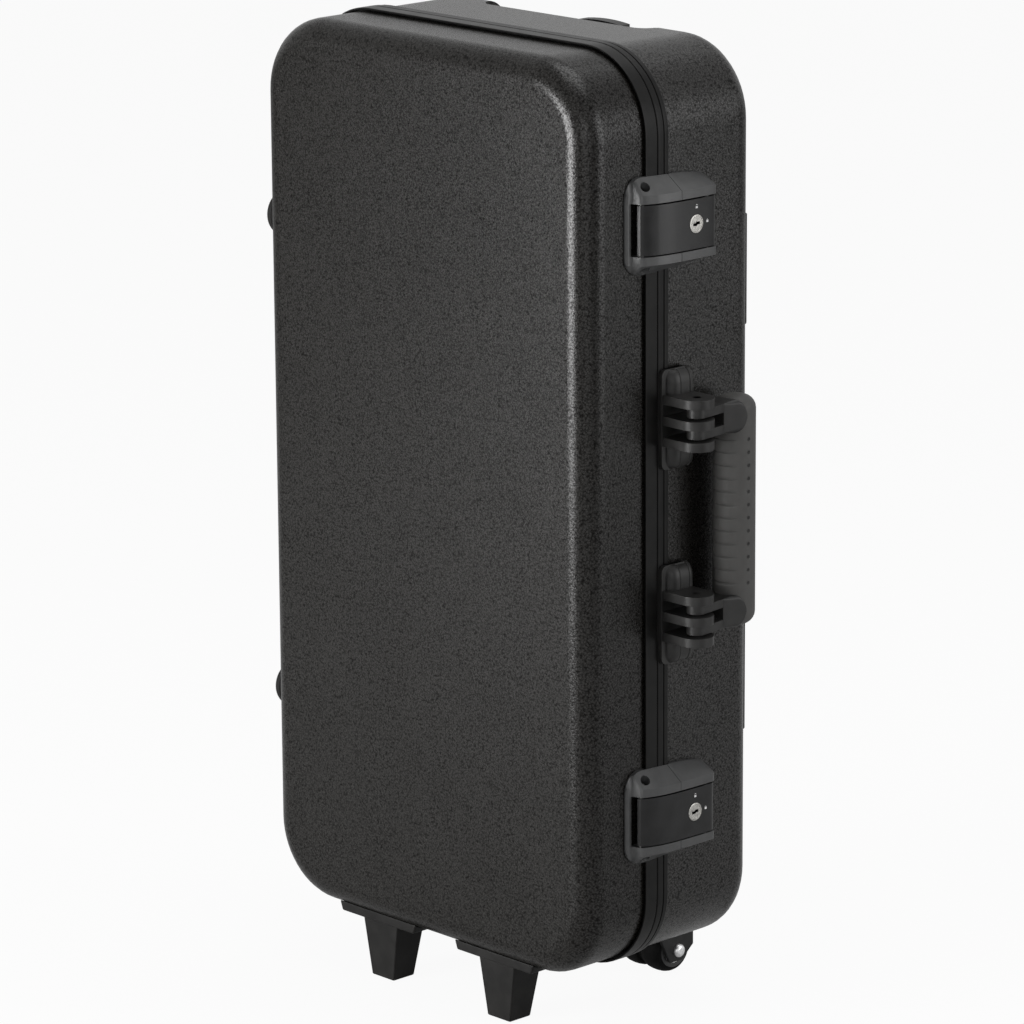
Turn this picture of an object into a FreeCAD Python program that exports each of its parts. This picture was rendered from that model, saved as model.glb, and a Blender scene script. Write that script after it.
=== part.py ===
import FreeCAD, Part
import math
import os

Vector = FreeCAD.Vector
X_AXIS = Vector(1, 0, 0)
Y_AXIS = Vector(0, 1, 0)
Z_AXIS = Vector(0, 0, 1)

# The case stands upright on its feet and wheels. Sizes are in millimetres.
# While it is modelled, x is 0 at the middle of the body, y is 0 at the lid's front face
# and z is 0 at the underside of the body. The last step moves the origin to the floor,
# under the middle of the whole case.

# Body
case_width = 356.0
case_height = 700.0
case_depth = 178.0
lid_depth = 71.0
corner_radius = 60.0
edge_radius = 20.0
wall = 4.0
lining_thickness = 6.0
lining_gap = 0.3

# Clearances
seat_gap = 0.15
move_gap = 0.4
pin_clearance = 0.05
overrun = 5.0

# Valance, the band round the seam
valance_width = 12.0
valance_proud = 3.0
valance_web = 4.0
valance_step = 0.9
parting_gap = 0.6
ridge_width = 4.6
groove_width = 1.6
groove_depth = 1.4
seal_width = 2.0
seal_depth = 1.8
seal_stand = 0.3

# Hinges
hinge_length = 70.0
hinge_spacing = 230.0
hinge_knuckles = 5
knuckle_radius = 5.0
knuckle_gap = 0.3
hinge_pin_radius = 2.0
hinge_stand = 1.0
leaf_thickness = 2.5
leaf_reach = 20.0
leaf_setback = 0.8

# Hardware on the latch side
hardware_rise = 0.5
latch_spacing = 449.5
latch_height = 72.0
latch_face_height = 52.0
latch_ahead = 32.5
latch_behind = 46.5
latch_split = 9.5
latch_nose = 10.5
latch_nose_proud = 10.4
latch_mid_proud = 17.8
latch_proud = 18.8
latch_end_radius = 4.0
latch_lip = 5.5
latch_lip_proud = 2.8
plate_floor = 2.0
lever_height = 38.0
lever_side_gap = 0.6
lever_proud = 0.4
lever_tip_ahead = 25.5
lever_tip_proud = 9.8
lever_tip_thickness = 1.8
lever_over_valance = 2.5
lever_pivot_behind = 40.0
lever_pivot_radius = 6.6
latch_pin_radius = 2.0
latch_pin_stop = 3.0
strike_radius = 2.2
strike_ahead = 19.5
strike_proud = 5.4
strike_length = 56.0
strike_well_radius = 4.0
strike_well_height = 60.0
key_behind = 23.8
key_radius = 7.0
key_proud = 0.6
keyway_width = 1.4
keyway_length = 9.0
keyway_depth = 2.5
cam_reach = 9.5
cam_width = 4.0
cam_thickness = 1.1

# Carry handle
handle_rise = 3.9
bracket_spacing = 149.0
bracket_length = 76.0
bracket_width = 28.0
bracket_lobe = 13.0
bracket_plate = 11.0
bracket_setback = 0.7
bracket_edge_radius = 5.0
lug_count = 3
lug_thickness = 7.0
lug_radius = 13.0
lug_reach = 29.0
prong_thickness = 6.6
prong_gap = 1.2
prong_radius = 7.5
prong_length = 19.0
handle_pin_radius = 3.0
handle_reach = 46.5
handle_fold = 8.0
arm_height = 26.0
arm_depth = 22.0
arm_corner = 6.0
grip_radius = 16.0
grip_length = 175.5
grip_end_radius = 10.0
grip_core_radius = 8.0
grip_core_stop = 12.0

# Feet under the lid
foot_spacing = 132.0
foot_height = 52.0
foot_flange_width = 88.0
foot_flange_depth = 40.0
foot_flange_thickness = 5.0
foot_flange_setback = 9.0
foot_top_width = 40.0
foot_top_depth = 30.0
foot_sole_width = 25.0
foot_sole_depth = 22.0
foot_top_setback = 12.0
foot_sole_setback = 14.0
foot_screw_inset = 12.0

# Bumpers on the hinge side
bumper_drop = 3.0
bumper_spacing = 380.0
bumper_radius = 18.0
bumper_thickness = 20.0
bumper_edge_radius = 3.0
lid_bumper_setback = 39.0
base_bumper_behind = 54.0
bumper_screw_sink = 12.0

# Feet on the back
back_foot_rise = 8.0
back_foot_spacing = 319.0
back_foot_length = 86.0
back_foot_width = 22.0
back_foot_edge_radius = 4.0
back_foot_side_inset = 35.2
back_foot_spare = 0.5

# Wheels
wheel_radius = 19.5
wheel_width = 45.0
wheel_spacing = 127.0
axle_behind = 7.0
axle_radius = 4.0
axle_head_radius = 5.4
axle_head_height = 3.6
wheel_side_gap = 1.2
hub_radius = 14.5
tread_width = 20.0
tread_groove_depth = 3.4
tread_edge_radius = 2.0
bearing_radius = 11.0
bearing_width = 7.0
cheek_thickness = 3.0
cheek_under_axle = 8.5
cheek_rear = 16.5
cheek_front = 27.0
cheek_rear_drop = 2.0
flange_thickness = 3.0
flange_side = 7.0
bottom_flange_length = 42.0
back_flange_length = 40.0
flange_screw_inset = 9.0

# Screws
screw_head_radius = 4.0
screw_head_height = 2.4
screw_shank_radius = 2.0

# Pull handle on the back
recess_width = 182.0
recess_depth = 30.0
recess_height = 48.0
recess_radius = 14.0
recess_foot_radius = 4.0
guide_spacing = 90.0
guide_width = 26.0
guide_depth = 16.0
guide_wall = 1.6
guide_corner = 4.0
guide_bottom = 66.0
guide_head = 64.0
guide_stand = 4.0
guide_cap = 3.0
guide_bracket_height = 22.0
guide_bracket_width = 128.0
tube_clearance = 0.5
tube_wall = 1.3
tube_overlap = 150.0
pull_travel = 400.0
pull_grip_width = 140.0
pull_grip_height = 18.0
pull_grip_drop = 12.8
pull_grip_radius = 6.0
pull_grip_behind = 3.0
button_width = 46.0
button_depth = 10.0
button_rise = 4.6
button_crown = 1.6
button_travel = 4.0
button_sink = 5.0
yoke_depth = 4.0
yoke_height = 4.0
yoke_rod_radius = 2.0
yoke_rod_stop = 20.0

# Worked-out places
half_width = case_width / 2
mid_height = case_height / 2
hardware_height = mid_height + hardware_rise
handle_height = hardware_height + handle_rise
bumper_height = mid_height - bumper_drop
back_foot_middle = mid_height + back_foot_rise
guide_top = case_height - guide_head
pull_grip_top = case_height - pull_grip_drop
lid_face = lid_depth - parting_gap / 2
base_face = lid_depth + parting_gap / 2
lid_valance_start = lid_face - valance_width
base_valance_end = base_face + valance_width
valance_x = half_width + valance_proud
axle_y = case_depth + axle_behind
axle_z = wheel_radius - foot_height
back_reach = axle_behind + wheel_radius + back_foot_spare
handle_axis_x = half_width + lug_reach
handle_axis_y = lid_depth + bracket_setback + bracket_width / 2
left_reach = half_width + bumper_thickness
right_reach = handle_axis_x + lug_radius
origin_shift = Vector((left_reach - right_reach) / 2, -(case_depth + back_reach) / 2, foot_height)

nodes = {}


def block(x0, x1, y0, y1, z0, z1):
    return Part.makeBox(x1 - x0, y1 - y0, z1 - z0, Vector(x0, y0, z0))


def rod(radius, start, axis, length):
    return Part.makeCylinder(radius, length, start, axis)


def joined(shapes):
    solid = shapes[0].multiFuse(shapes[1:])
    return solid.removeSplitter()


def rounded_edges(solid, radius, wanted):
    edges = [edge for edge in solid.Edges if wanted(edge.BoundBox)]
    return solid.makeFillet(radius, edges)


def outline_face(width, height, radius, to_point):
    # A rounded rectangle about the origin of two flat coordinates, which to_point sets in space.
    half_across = width / 2
    half_up = height / 2
    bend = radius * (1 - math.cos(math.pi / 4))
    corners = [(1, 1), (-1, 1), (-1, -1), (1, -1)]
    edges = []
    ends = []
    for across, up in corners:
        on_side = to_point(across * half_across, up * (half_up - radius))
        on_bend = to_point(across * (half_across - bend), up * (half_up - bend))
        on_top = to_point(across * (half_across - radius), up * half_up)
        first, last = (on_side, on_top) if across * up > 0 else (on_top, on_side)
        edges.append(Part.Arc(first, on_bend, last).toShape())
        ends.append((first, last))
    for number in range(len(ends)):
        start = ends[number][1]
        finish = ends[(number + 1) % len(ends)][0]
        if start.distanceToPoint(finish) > 0:
            edges.append(Part.makeLine(start, finish))
    return Part.Face(Part.Wire(Part.__sortEdges__(edges)))


def case_block(grow, y0, y1):
    # The case's outline seen from the front, grown outwards on all sides, between two depths.
    face = outline_face(
        case_width + 2 * grow,
        case_height + 2 * grow,
        corner_radius + grow,
        lambda a, b: Vector(a, y0, mid_height + b),
    )
    return face.extrude(Vector(0, y1 - y0, 0))


def case_ring(y0, y1, inner, outer):
    return case_block(outer, y0, y1).cut(case_block(inner, y0, y1))


def body_block(grow):
    # The closed case with its rounded front and back edges, grown outwards on all sides.
    solid = case_block(grow, -grow, case_depth + grow)
    flat = seat_gap / 2
    at_front = lambda box: box.YMax < flat - grow
    at_back = lambda box: box.YMin > case_depth + grow - flat
    return rounded_edges(solid, edge_radius + grow, lambda box: at_front(box) or at_back(box))


def profile(points, along):
    wire = Part.makePolygon(points + [points[0]])
    return Part.Face(wire).extrude(along)


def profile_on_side(points, x0, x1):
    return profile([Vector(x0, y, z) for y, z in points], Vector(x1 - x0, 0, 0))


def screw(seat, out):
    # A pan-head screw whose head sits at seat; out points away from the case.
    head = rod(screw_head_radius, seat, out, screw_head_height)
    rim_edges = [edge for edge in head.Edges if edge_is_far(edge, seat, out)]
    return head.makeFillet(screw_head_height / 2, rim_edges)


def edge_is_far(edge, seat, out):
    far = (edge.CenterOfMass - seat).dot(out)
    return edge.Curve.TypeId == "Part::GeomCircle" and far > screw_head_height - seat_gap


def screw_with_shank(seat, out, depth):
    shank = rod(screw_shank_radius, seat - out * depth, out, depth)
    return joined([screw(seat, out), shank])


def screw_hole(seat, out, depth):
    return rod(screw_shank_radius + seat_gap, seat - out * (depth + overrun), out, depth + 2 * overrun)


def mirrored(solid):
    return solid.mirror(Vector(0, 0, 0), X_AXIS)


# Screw places: each has the point under its head and the way its head faces.
def foot_screw_seats(side):
    middle = side * foot_spacing / 2
    reach = foot_flange_width / 2 - foot_screw_inset
    depth = foot_flange_setback + foot_flange_depth / 2 + foot_screw_inset / 2
    return [(Vector(middle + hand * reach, depth, -foot_flange_thickness), -Z_AXIS) for hand in (-1, 1)]


def bumper_screw_seats(depth):
    seats = []
    for hand in (-1, 1):
        height = bumper_height + hand * bumper_spacing / 2
        seat_x = -(half_width + bumper_thickness - bumper_screw_sink)
        seats.append((Vector(seat_x, depth, height), -X_AXIS))
    return seats


def flange_screw_seats(side):
    seats = []
    middle = side * wheel_spacing / 2
    reach = wheel_width / 2 - flange_side
    low_y = case_depth - edge_radius - bottom_flange_length + flange_screw_inset
    high_z = edge_radius + back_flange_length - flange_screw_inset
    for hand in (-1, 1):
        seats.append((Vector(middle + hand * reach, low_y, -flange_thickness), -Z_AXIS))
        seats.append((Vector(middle + hand * reach, case_depth + flange_thickness, high_z), Y_AXIS))
    return seats


def back_foot_places():
    side = half_width - back_foot_side_inset - back_foot_width / 2
    places = []
    for across, side_name in ((-1, "left"), (1, "right")):
        for up, level_name in ((-1, "lower"), (1, "upper")):
            height = back_foot_middle + up * back_foot_spacing / 2
            places.append((level_name + "_" + side_name, across * side, height))
    return places


# Shells
def shell_half(y0, y1):
    outer = body_block(0).common(case_block(overrun, y0, y1))
    inner = body_block(-wall).common(case_block(overrun, y0 - overrun, y1 + overrun))
    return outer, inner


def recess_block(grow):
    # The finger recess in the top back edge, open to the top and to the back.
    low = case_height - recess_height - grow
    solid = block(
        -recess_width / 2 - grow,
        recess_width / 2 + grow,
        case_depth - recess_depth - grow,
        case_depth + overrun,
        low,
        case_height + overrun,
    )
    front = case_depth - recess_depth - grow
    at_front_foot = lambda box: box.YMax < front + seat_gap and box.ZMax < low + seat_gap
    at_front_end = lambda box: box.YMax < front + seat_gap and box.XLength < seat_gap
    solid = rounded_edges(solid, recess_radius + grow, at_front_end)
    return rounded_edges(solid, recess_foot_radius + grow, at_front_foot)


def make_shells():
    outer, inner = shell_half(0, lid_face - valance_web)
    lid = outer.cut(inner)
    holes = []
    for side in (-1, 1):
        holes += [screw_hole(seat, out, foot_flange_thickness + wall) for seat, out in foot_screw_seats(side)]
    bumper_depth = bumper_thickness - bumper_screw_sink + wall
    holes += [screw_hole(seat, out, bumper_depth) for seat, out in bumper_screw_seats(lid_bumper_setback)]
    nodes["lid_shell"] = lid.cut(holes)

    outer, inner = shell_half(base_face + valance_web, case_depth)
    base = outer.cut(recess_block(0)).cut(inner.cut(recess_block(wall)))
    holes = []
    for side in (-1, 1):
        holes += [screw_hole(seat, out, flange_thickness + wall) for seat, out in flange_screw_seats(side)]
    base_depth = lid_depth + base_bumper_behind
    holes += [screw_hole(seat, out, bumper_depth) for seat, out in bumper_screw_seats(base_depth)]
    nodes["base_shell"] = base.cut(holes)


def make_linings():
    outside = wall + lining_gap
    inside = outside + lining_thickness
    lid_top = lid_face - valance_web
    lid = body_block(-outside).cut(body_block(-inside))
    nodes["lid_lining"] = lid.common(case_block(overrun, 0, lid_top))
    base_bottom = base_face + valance_web
    hollow = body_block(-inside).cut(recess_block(inside))
    base = body_block(-outside).cut(recess_block(outside)).cut(hollow)
    nodes["base_lining"] = base.common(case_block(overrun, base_bottom, case_depth))


def make_valances():
    proud = valance_proud
    step = valance_step
    bands = [
        case_ring(lid_valance_start, lid_valance_start + step, seat_gap, proud - step),
        case_ring(lid_valance_start + step, lid_face - step, seat_gap, proud),
        case_ring(lid_face - step, lid_face, seat_gap, proud - step),
        case_ring(lid_face - valance_web, lid_face, -wall, proud - step),
    ]
    nodes["lid_valance"] = joined(bands)

    ridge_end = base_face + step + ridge_width
    groove_end = ridge_end + groove_width
    bands = [
        case_ring(base_face, base_face + step, seat_gap, proud - step),
        case_ring(base_face + step, ridge_end, seat_gap, proud),
        case_ring(ridge_end, groove_end, seat_gap, proud - groove_depth),
        case_ring(groove_end, base_valance_end - step, seat_gap, proud - step / 2),
        case_ring(base_valance_end - step, base_valance_end, seat_gap, proud - groove_depth),
        case_ring(base_face, base_face + valance_web, -wall, proud - step),
    ]
    groove_inner = -(wall + seal_width) / 2
    groove_outer = -(wall - seal_width) / 2
    groove = case_ring(
        base_face - overrun, base_face + seal_depth, groove_inner - seat_gap, groove_outer + seat_gap
    )
    nodes["base_valance"] = joined(bands).cut(groove)
    nodes["seal"] = case_ring(base_face - seal_stand, base_face + seal_depth, groove_inner, groove_outer)


# Hinges on the left side. The axis is upright, in the parting plane.
hinge_x = -(valance_x + hinge_stand + knuckle_radius)


def hinge_middles():
    return (("lower", mid_height - hinge_spacing / 2), ("upper", mid_height + hinge_spacing / 2))


def hinge_leaf(middle, toward, first_knuckle):
    # toward is -1 for the lid's leaf and 1 for the base's.
    bottom = middle - hinge_length / 2
    top = middle + hinge_length / 2
    on_valance = -(valance_x + seat_gap)
    on_wall = -(half_width + seat_gap)
    near = lid_depth + toward * (knuckle_radius + leaf_setback)
    edge = lid_depth + toward * (parting_gap / 2 + valance_width + seat_gap)
    riser = edge + toward * leaf_thickness
    far = edge + toward * leaf_reach
    pieces = [
        block(on_valance - leaf_thickness, on_valance, min(near, riser), max(near, riser), bottom, top),
        block(on_valance - leaf_thickness, on_wall, min(edge, riser), max(edge, riser), bottom, top),
        block(on_wall - leaf_thickness, on_wall, min(edge, far), max(edge, far), bottom, top),
    ]
    pitch = (hinge_length + knuckle_gap) / hinge_knuckles
    for number in range(first_knuckle, hinge_knuckles, 2):
        low = bottom + number * pitch
        high = low + pitch - knuckle_gap
        pieces.append(rod(knuckle_radius, Vector(hinge_x, lid_depth, low), Z_AXIS, high - low))
        y_ends = sorted((near, lid_depth))
        pieces.append(block(on_valance - leaf_thickness, on_valance, y_ends[0], y_ends[1], low, high))
    bore = rod(
        hinge_pin_radius + pin_clearance,
        Vector(hinge_x, lid_depth, bottom - overrun),
        Z_AXIS,
        hinge_length + 2 * overrun,
    )
    return joined(pieces).cut(bore)


def make_hinges():
    pins = []
    for name, middle in hinge_middles():
        nodes["hinge_lid_leaf_" + name] = hinge_leaf(middle, -1, 1)
        nodes["hinge_base_leaf_" + name] = hinge_leaf(middle, 1, 0)
        foot = Vector(hinge_x, lid_depth, middle - hinge_length / 2)
        pins.append(rod(hinge_pin_radius, foot, Z_AXIS, hinge_length))
    nodes["hinge_pins"] = Part.makeCompound(pins)


# Latches on the right side
def latch_middles():
    return (("lower", hardware_height - latch_spacing / 2), ("upper", hardware_height + latch_spacing / 2))


latch_front = lid_depth - latch_ahead
latch_back = lid_depth + latch_behind
split_y = lid_depth + latch_split
pivot_y = lid_depth + lever_pivot_behind
pivot_x = half_width + latch_proud + lever_proud - lever_pivot_radius
lever_in = valance_x + lever_over_valance
lever_tip_y = lid_depth - lever_tip_ahead
lever_tip_in = half_width + lever_tip_proud - lever_tip_thickness
strike_y = lid_depth - strike_ahead
strike_x = half_width + strike_proud
key_y = lid_depth + key_behind
key_face = half_width + latch_proud + key_proud


def crown_arc(proud, start):
    # The bulged outside of a latch seen from above, from a start point to the pivot.
    nose_y = latch_front + latch_nose
    middle = Vector(half_width + latch_mid_proud + proud, (nose_y + latch_back) / 2, 0)
    finish = Vector(half_width + latch_proud + proud, pivot_y, 0)
    return Part.Arc(start, middle, finish).toShape()


def upright(edges, z0, z1):
    # The solid over a closed outline drawn flat, between two heights.
    solid = Part.Face(Part.Wire(edges)).extrude(Vector(0, 0, z1 - z0))
    solid.translate(Vector(0, 0, z0))
    return solid


def bezel_block(middle):
    # The whole bezel with its bulged outside, sloped upper and lower sides and lever window.
    wall_x = half_width + seat_gap
    nose = Vector(half_width + latch_nose_proud, latch_front + latch_nose, 0)
    bend = math.cos(math.pi / 4)
    nose_bend = Vector(
        half_width + latch_nose_proud * bend, latch_front + latch_nose * (1 - bend), 0
    )
    foot = Vector(wall_x, latch_front, 0)
    crown = crown_arc(0, nose)
    top = crown.Vertexes[-1].Point
    back = Vector(top.x, latch_back, 0)
    back_foot = Vector(wall_x, latch_back, 0)
    outline = [
        Part.Arc(foot, nose_bend, nose).toShape(),
        crown,
        Part.makeLine(top, back),
        Part.makeLine(back, back_foot),
        Part.makeLine(back_foot, foot),
    ]
    low = middle - latch_height / 2
    solid = upright(outline, low, low + latch_height)
    at_back = lambda box: box.YMin > latch_back - seat_gap and box.XMin > top.x - seat_gap
    solid = rounded_edges(solid, latch_end_radius, at_back)
    half = latch_height / 2
    face_half = latch_face_height / 2
    front = latch_front - overrun
    slope = (half - face_half) / latch_mid_proud
    reach = latch_proud + overrun
    sides = [
        Vector(half_width, front, middle - half),
        Vector(half_width + reach, front, middle - half + reach * slope),
        Vector(half_width + reach, front, middle + half - reach * slope),
        Vector(half_width, front, middle + half),
    ]
    solid = solid.common(profile(sides, Vector(0, latch_back - front + overrun, 0)))
    open_half = lever_height / 2 + lever_side_gap
    window = block(
        half_width,
        half_width + reach,
        latch_front + latch_lip,
        latch_back + overrun,
        middle - open_half,
        middle + open_half,
    )
    over_lip = block(
        half_width + latch_lip_proud,
        half_width + reach,
        front,
        latch_back,
        middle - open_half,
        middle + open_half,
    )
    return solid.cut([window, over_lip])


def strike(middle, radius, length):
    return rod(radius, Vector(strike_x, strike_y, middle - length / 2), Z_AXIS, length)


def latch_pin(middle, radius, length):
    return rod(radius, Vector(pivot_x, pivot_y, middle - length / 2), Z_AXIS, length)


def latch_zone(middle, x1, y0, y1):
    # A block from inside the wall out to x1, taller than the latch.
    return block(half_width - overrun, x1, y0, y1, middle - latch_height, middle + latch_height)


def lid_bezel(middle):
    far = half_width + latch_proud + overrun
    wells = strike(middle, strike_well_radius, latch_height).cut(
        strike(middle, strike_well_radius, strike_well_height)
    )
    return bezel_block(middle).cut(
        [
            latch_zone(middle, far, split_y - move_gap / 2, case_depth),
            latch_zone(middle, valance_x + seat_gap, lid_valance_start - seat_gap, case_depth),
            latch_zone(middle, valance_x + move_gap, lid_face - move_gap, case_depth),
            strike(middle, strike_radius + pin_clearance, latch_height),
            wells,
        ]
    )


def base_plate(middle):
    far = half_width + latch_proud + overrun
    wall_x = half_width + seat_gap
    low = middle - latch_height / 2
    floor_front = base_valance_end + seat_gap
    floor = block(wall_x, wall_x + plate_floor, floor_front, latch_back, low, low + latch_height)
    arms = bezel_block(middle).cut(
        [
            latch_zone(middle, far, 0, split_y + move_gap / 2),
            latch_zone(middle, valance_x + seat_gap, 0, floor_front),
        ]
    )
    bore = latch_pin(middle, latch_pin_radius + pin_clearance, latch_face_height - latch_pin_stop)
    return joined([arms, floor]).cut(bore)


def lever(middle):
    tip = Vector(half_width + lever_tip_proud, lever_tip_y, 0)
    tip_in = Vector(lever_tip_in, lever_tip_y, 0)
    over_strike = lid_valance_start - seat_gap
    step_out = Vector(lever_tip_in, over_strike, 0)
    step_in = Vector(lever_in, over_strike, 0)
    crown = crown_arc(lever_proud, tip)
    top = crown.Vertexes[-1].Point
    foot = Vector(lever_in, pivot_y, 0)
    corners = [top, foot, step_in, step_out, tip_in, tip]
    sides = Part.makePolygon(corners)
    low = middle - lever_height / 2
    body = upright([crown] + sides.Edges, low, low + lever_height)
    eye = rod(lever_pivot_radius, Vector(pivot_x, pivot_y, low), Z_AXIS, lever_height)
    bore = latch_pin(middle, latch_pin_radius + pin_clearance, latch_height)
    key_start = Vector(lever_in - overrun, key_y, middle)
    key_hole = rod(key_radius + pin_clearance, key_start, X_AXIS, latch_proud + 2 * overrun)
    return joined([body, eye]).cut([bore, key_hole])


def key_cylinder(middle):
    cam_x = lever_in - pin_clearance - cam_thickness
    plug = rod(key_radius, Vector(cam_x, key_y, middle), X_AXIS, key_face - cam_x)
    cam_foot = middle - cam_width / 2
    cam = block(cam_x, cam_x + cam_thickness, key_y, key_y + cam_reach, cam_foot, cam_foot + cam_width)
    keyway = block(
        key_face - keyway_depth,
        key_face + overrun,
        key_y - keyway_length / 2,
        key_y + keyway_length / 2,
        middle - keyway_width / 2,
        middle + keyway_width / 2,
    )
    return joined([plug, cam]).cut(keyway)


def make_latches():
    strikes = []
    pins = []
    for name, middle in latch_middles():
        nodes["latch_lid_bezel_" + name] = lid_bezel(middle)
        nodes["latch_base_plate_" + name] = base_plate(middle)
        nodes["latch_lever_" + name] = lever(middle)
        nodes["key_cylinder_" + name] = key_cylinder(middle)
        strikes.append(strike(middle, strike_radius, strike_length))
        pins.append(latch_pin(middle, latch_pin_radius, latch_face_height - latch_pin_stop - seat_gap))
    nodes["latch_strikes"] = Part.makeCompound(strikes)
    nodes["latch_pivot_pins"] = Part.makeCompound(pins)


# Carry handle
def bracket_middles():
    reach = bracket_spacing / 2
    return (("lower", handle_height - reach), ("upper", handle_height + reach))


lug_pitch = lug_thickness + prong_thickness + 2 * prong_gap
lug_stack = (lug_count - 1) * lug_pitch + lug_thickness


def handle_bracket(middle):
    front = lid_depth + bracket_setback
    back = front + bracket_width
    base_x = half_width + seat_gap
    low = middle - bracket_length / 2
    high = middle + bracket_length / 2
    lobe_x = half_width + bracket_lobe
    lobes = block(base_x, lobe_x, front, back, low, high)
    outer = lambda box: box.XMin > lobe_x - seat_gap
    lobes = rounded_edges(lobes, bracket_edge_radius, outer)
    saddle = block(
        half_width + bracket_plate,
        lobe_x + overrun,
        front - overrun,
        back + overrun,
        middle - lug_stack / 2,
        middle + lug_stack / 2,
    )
    pieces = [lobes.cut(saddle)]
    for number in range(lug_count):
        foot = middle - lug_stack / 2 + number * lug_pitch
        head = foot + lug_thickness
        near = handle_axis_y - lug_radius
        far = handle_axis_y + lug_radius
        pieces.append(block(half_width + bracket_plate / 2, handle_axis_x, near, far, foot, head))
        pieces.append(rod(lug_radius, Vector(handle_axis_x, handle_axis_y, foot), Z_AXIS, lug_thickness))
    over_valance = block(
        base_x - overrun, valance_x + seat_gap, 0, base_valance_end + seat_gap, low - overrun, high + overrun
    )
    bore = handle_pin(middle, handle_pin_radius + pin_clearance)
    return joined(pieces).cut([over_valance, bore])


def handle_pin(middle, radius):
    return rod(radius, Vector(handle_axis_x, handle_axis_y, middle - lug_stack / 2), Z_AXIS, lug_stack)


def folded(solid):
    # Turns a handle piece that was built reaching straight back into its folded place.
    turned = solid.copy()
    turned.rotate(Vector(0, 0, 0), Z_AXIS, handle_fold)
    turned.translate(Vector(handle_axis_x, handle_axis_y, 0))
    return turned


def arm_section(middle, depth, height, y):
    # A rounded slice across an arm, at a distance from the pivot axis.
    return outline_face(depth, height, arm_corner, lambda a, b: Vector(a, y, middle + b)).OuterWire


def handle_arms(grow):
    # Both forked arms and the bar between them, reaching along +y from the pivot axis.
    half = prong_radius + grow
    pieces = []
    for name, middle in bracket_middles():
        for hand in (-1, 1):
            foot = middle + hand * lug_pitch / 2 - prong_thickness / 2 - grow
            tall = prong_thickness + 2 * grow
            pieces.append(rod(half, Vector(0, 0, foot), Z_AXIS, tall))
            pieces.append(block(-half, half, 0, prong_length + prong_radius, foot, foot + tall))
        fork = lug_pitch + prong_thickness + 2 * grow
        narrow = arm_section(middle, 2 * half, fork, prong_length - grow)
        wide = arm_section(middle, arm_depth + 2 * grow, arm_height + 2 * grow, handle_reach)
        pieces.append(Part.makeLoft([narrow, wide], True, True))
    low = handle_height - grip_length / 2 + grip_core_stop - grow
    high = handle_height + grip_length / 2 - grip_core_stop + grow
    pieces.append(rod(grip_core_radius + grow, Vector(0, handle_reach, low), Z_AXIS, high - low))
    return joined(pieces)


def make_handle():
    pins = []
    eyes = []
    for name, middle in bracket_middles():
        nodes["handle_bracket_" + name] = handle_bracket(middle)
        pins.append(handle_pin(middle, handle_pin_radius))
        eyes.append(
            rod(handle_pin_radius + pin_clearance, Vector(0, 0, middle - lug_stack / 2), Z_AXIS, lug_stack)
        )
    nodes["handle_pins"] = Part.makeCompound(pins)
    nodes["handle_core"] = folded(handle_arms(0).cut(eyes))
    foot = Vector(0, handle_reach, handle_height - grip_length / 2)
    grip = rod(grip_radius, foot, Z_AXIS, grip_length)
    grip = rounded_edges(grip, grip_end_radius, lambda box: box.ZLength < seat_gap)
    nodes["handle_grip"] = folded(grip.cut(handle_arms(seat_gap)))


# Feet under the lid
def sole_wire(middle, width, depth, setback, z):
    x0 = middle - width / 2
    corners = [
        Vector(x0, setback, z),
        Vector(x0 + width, setback, z),
        Vector(x0 + width, setback + depth, z),
        Vector(x0, setback + depth, z),
    ]
    return Part.makePolygon(corners + [corners[0]])


def lid_foot(side):
    middle = side * foot_spacing / 2
    flange = block(
        middle - foot_flange_width / 2,
        middle + foot_flange_width / 2,
        foot_flange_setback,
        foot_flange_setback + foot_flange_depth,
        -foot_flange_thickness,
        edge_radius / 2,
    )
    leg_top = -foot_flange_thickness / 2
    leg = Part.makeLoft(
        [
            sole_wire(middle, foot_top_width, foot_top_depth, foot_top_setback, leg_top),
            sole_wire(middle, foot_sole_width, foot_sole_depth, foot_sole_setback, -foot_height),
        ],
        True,
        True,
    )
    holes = [screw_hole(seat, out, foot_flange_thickness) for seat, out in foot_screw_seats(side)]
    return joined([flange.cut(body_block(seat_gap)), leg]).cut(holes)


def make_lid_feet():
    nodes["lid_foot_left"] = lid_foot(-1)
    nodes["lid_foot_right"] = lid_foot(1)


# Bumpers on the hinge side
def bumper(depth, seat):
    height = seat[0].z
    start = Vector(-(half_width + seat_gap), depth, height)
    solid = rod(bumper_radius, start, -X_AXIS, bumper_thickness - seat_gap)
    face = -(half_width + bumper_thickness)
    solid = rounded_edges(solid, bumper_edge_radius, lambda box: box.XMax < face + seat_gap)
    well = rod(screw_head_radius + move_gap, seat[0], -X_AXIS, bumper_thickness)
    return solid.cut([well, screw_hole(seat[0], seat[1], bumper_thickness)])


def make_bumpers():
    for name, depth in (("lid", lid_bumper_setback), ("base", lid_depth + base_bumper_behind)):
        for level, seat in zip(("lower", "upper"), bumper_screw_seats(depth)):
            nodes[name + "_bumper_" + level] = bumper(depth, seat)


def make_back_feet():
    for name, across, height in back_foot_places():
        solid = block(
            across - back_foot_width / 2,
            across + back_foot_width / 2,
            case_depth,
            case_depth + back_reach,
            height - back_foot_length / 2,
            height + back_foot_length / 2,
        )
        rear = lambda box: box.YMin > case_depth + back_reach - seat_gap
        nodes["back_foot_" + name] = rounded_edges(solid, back_foot_edge_radius, rear)


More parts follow.
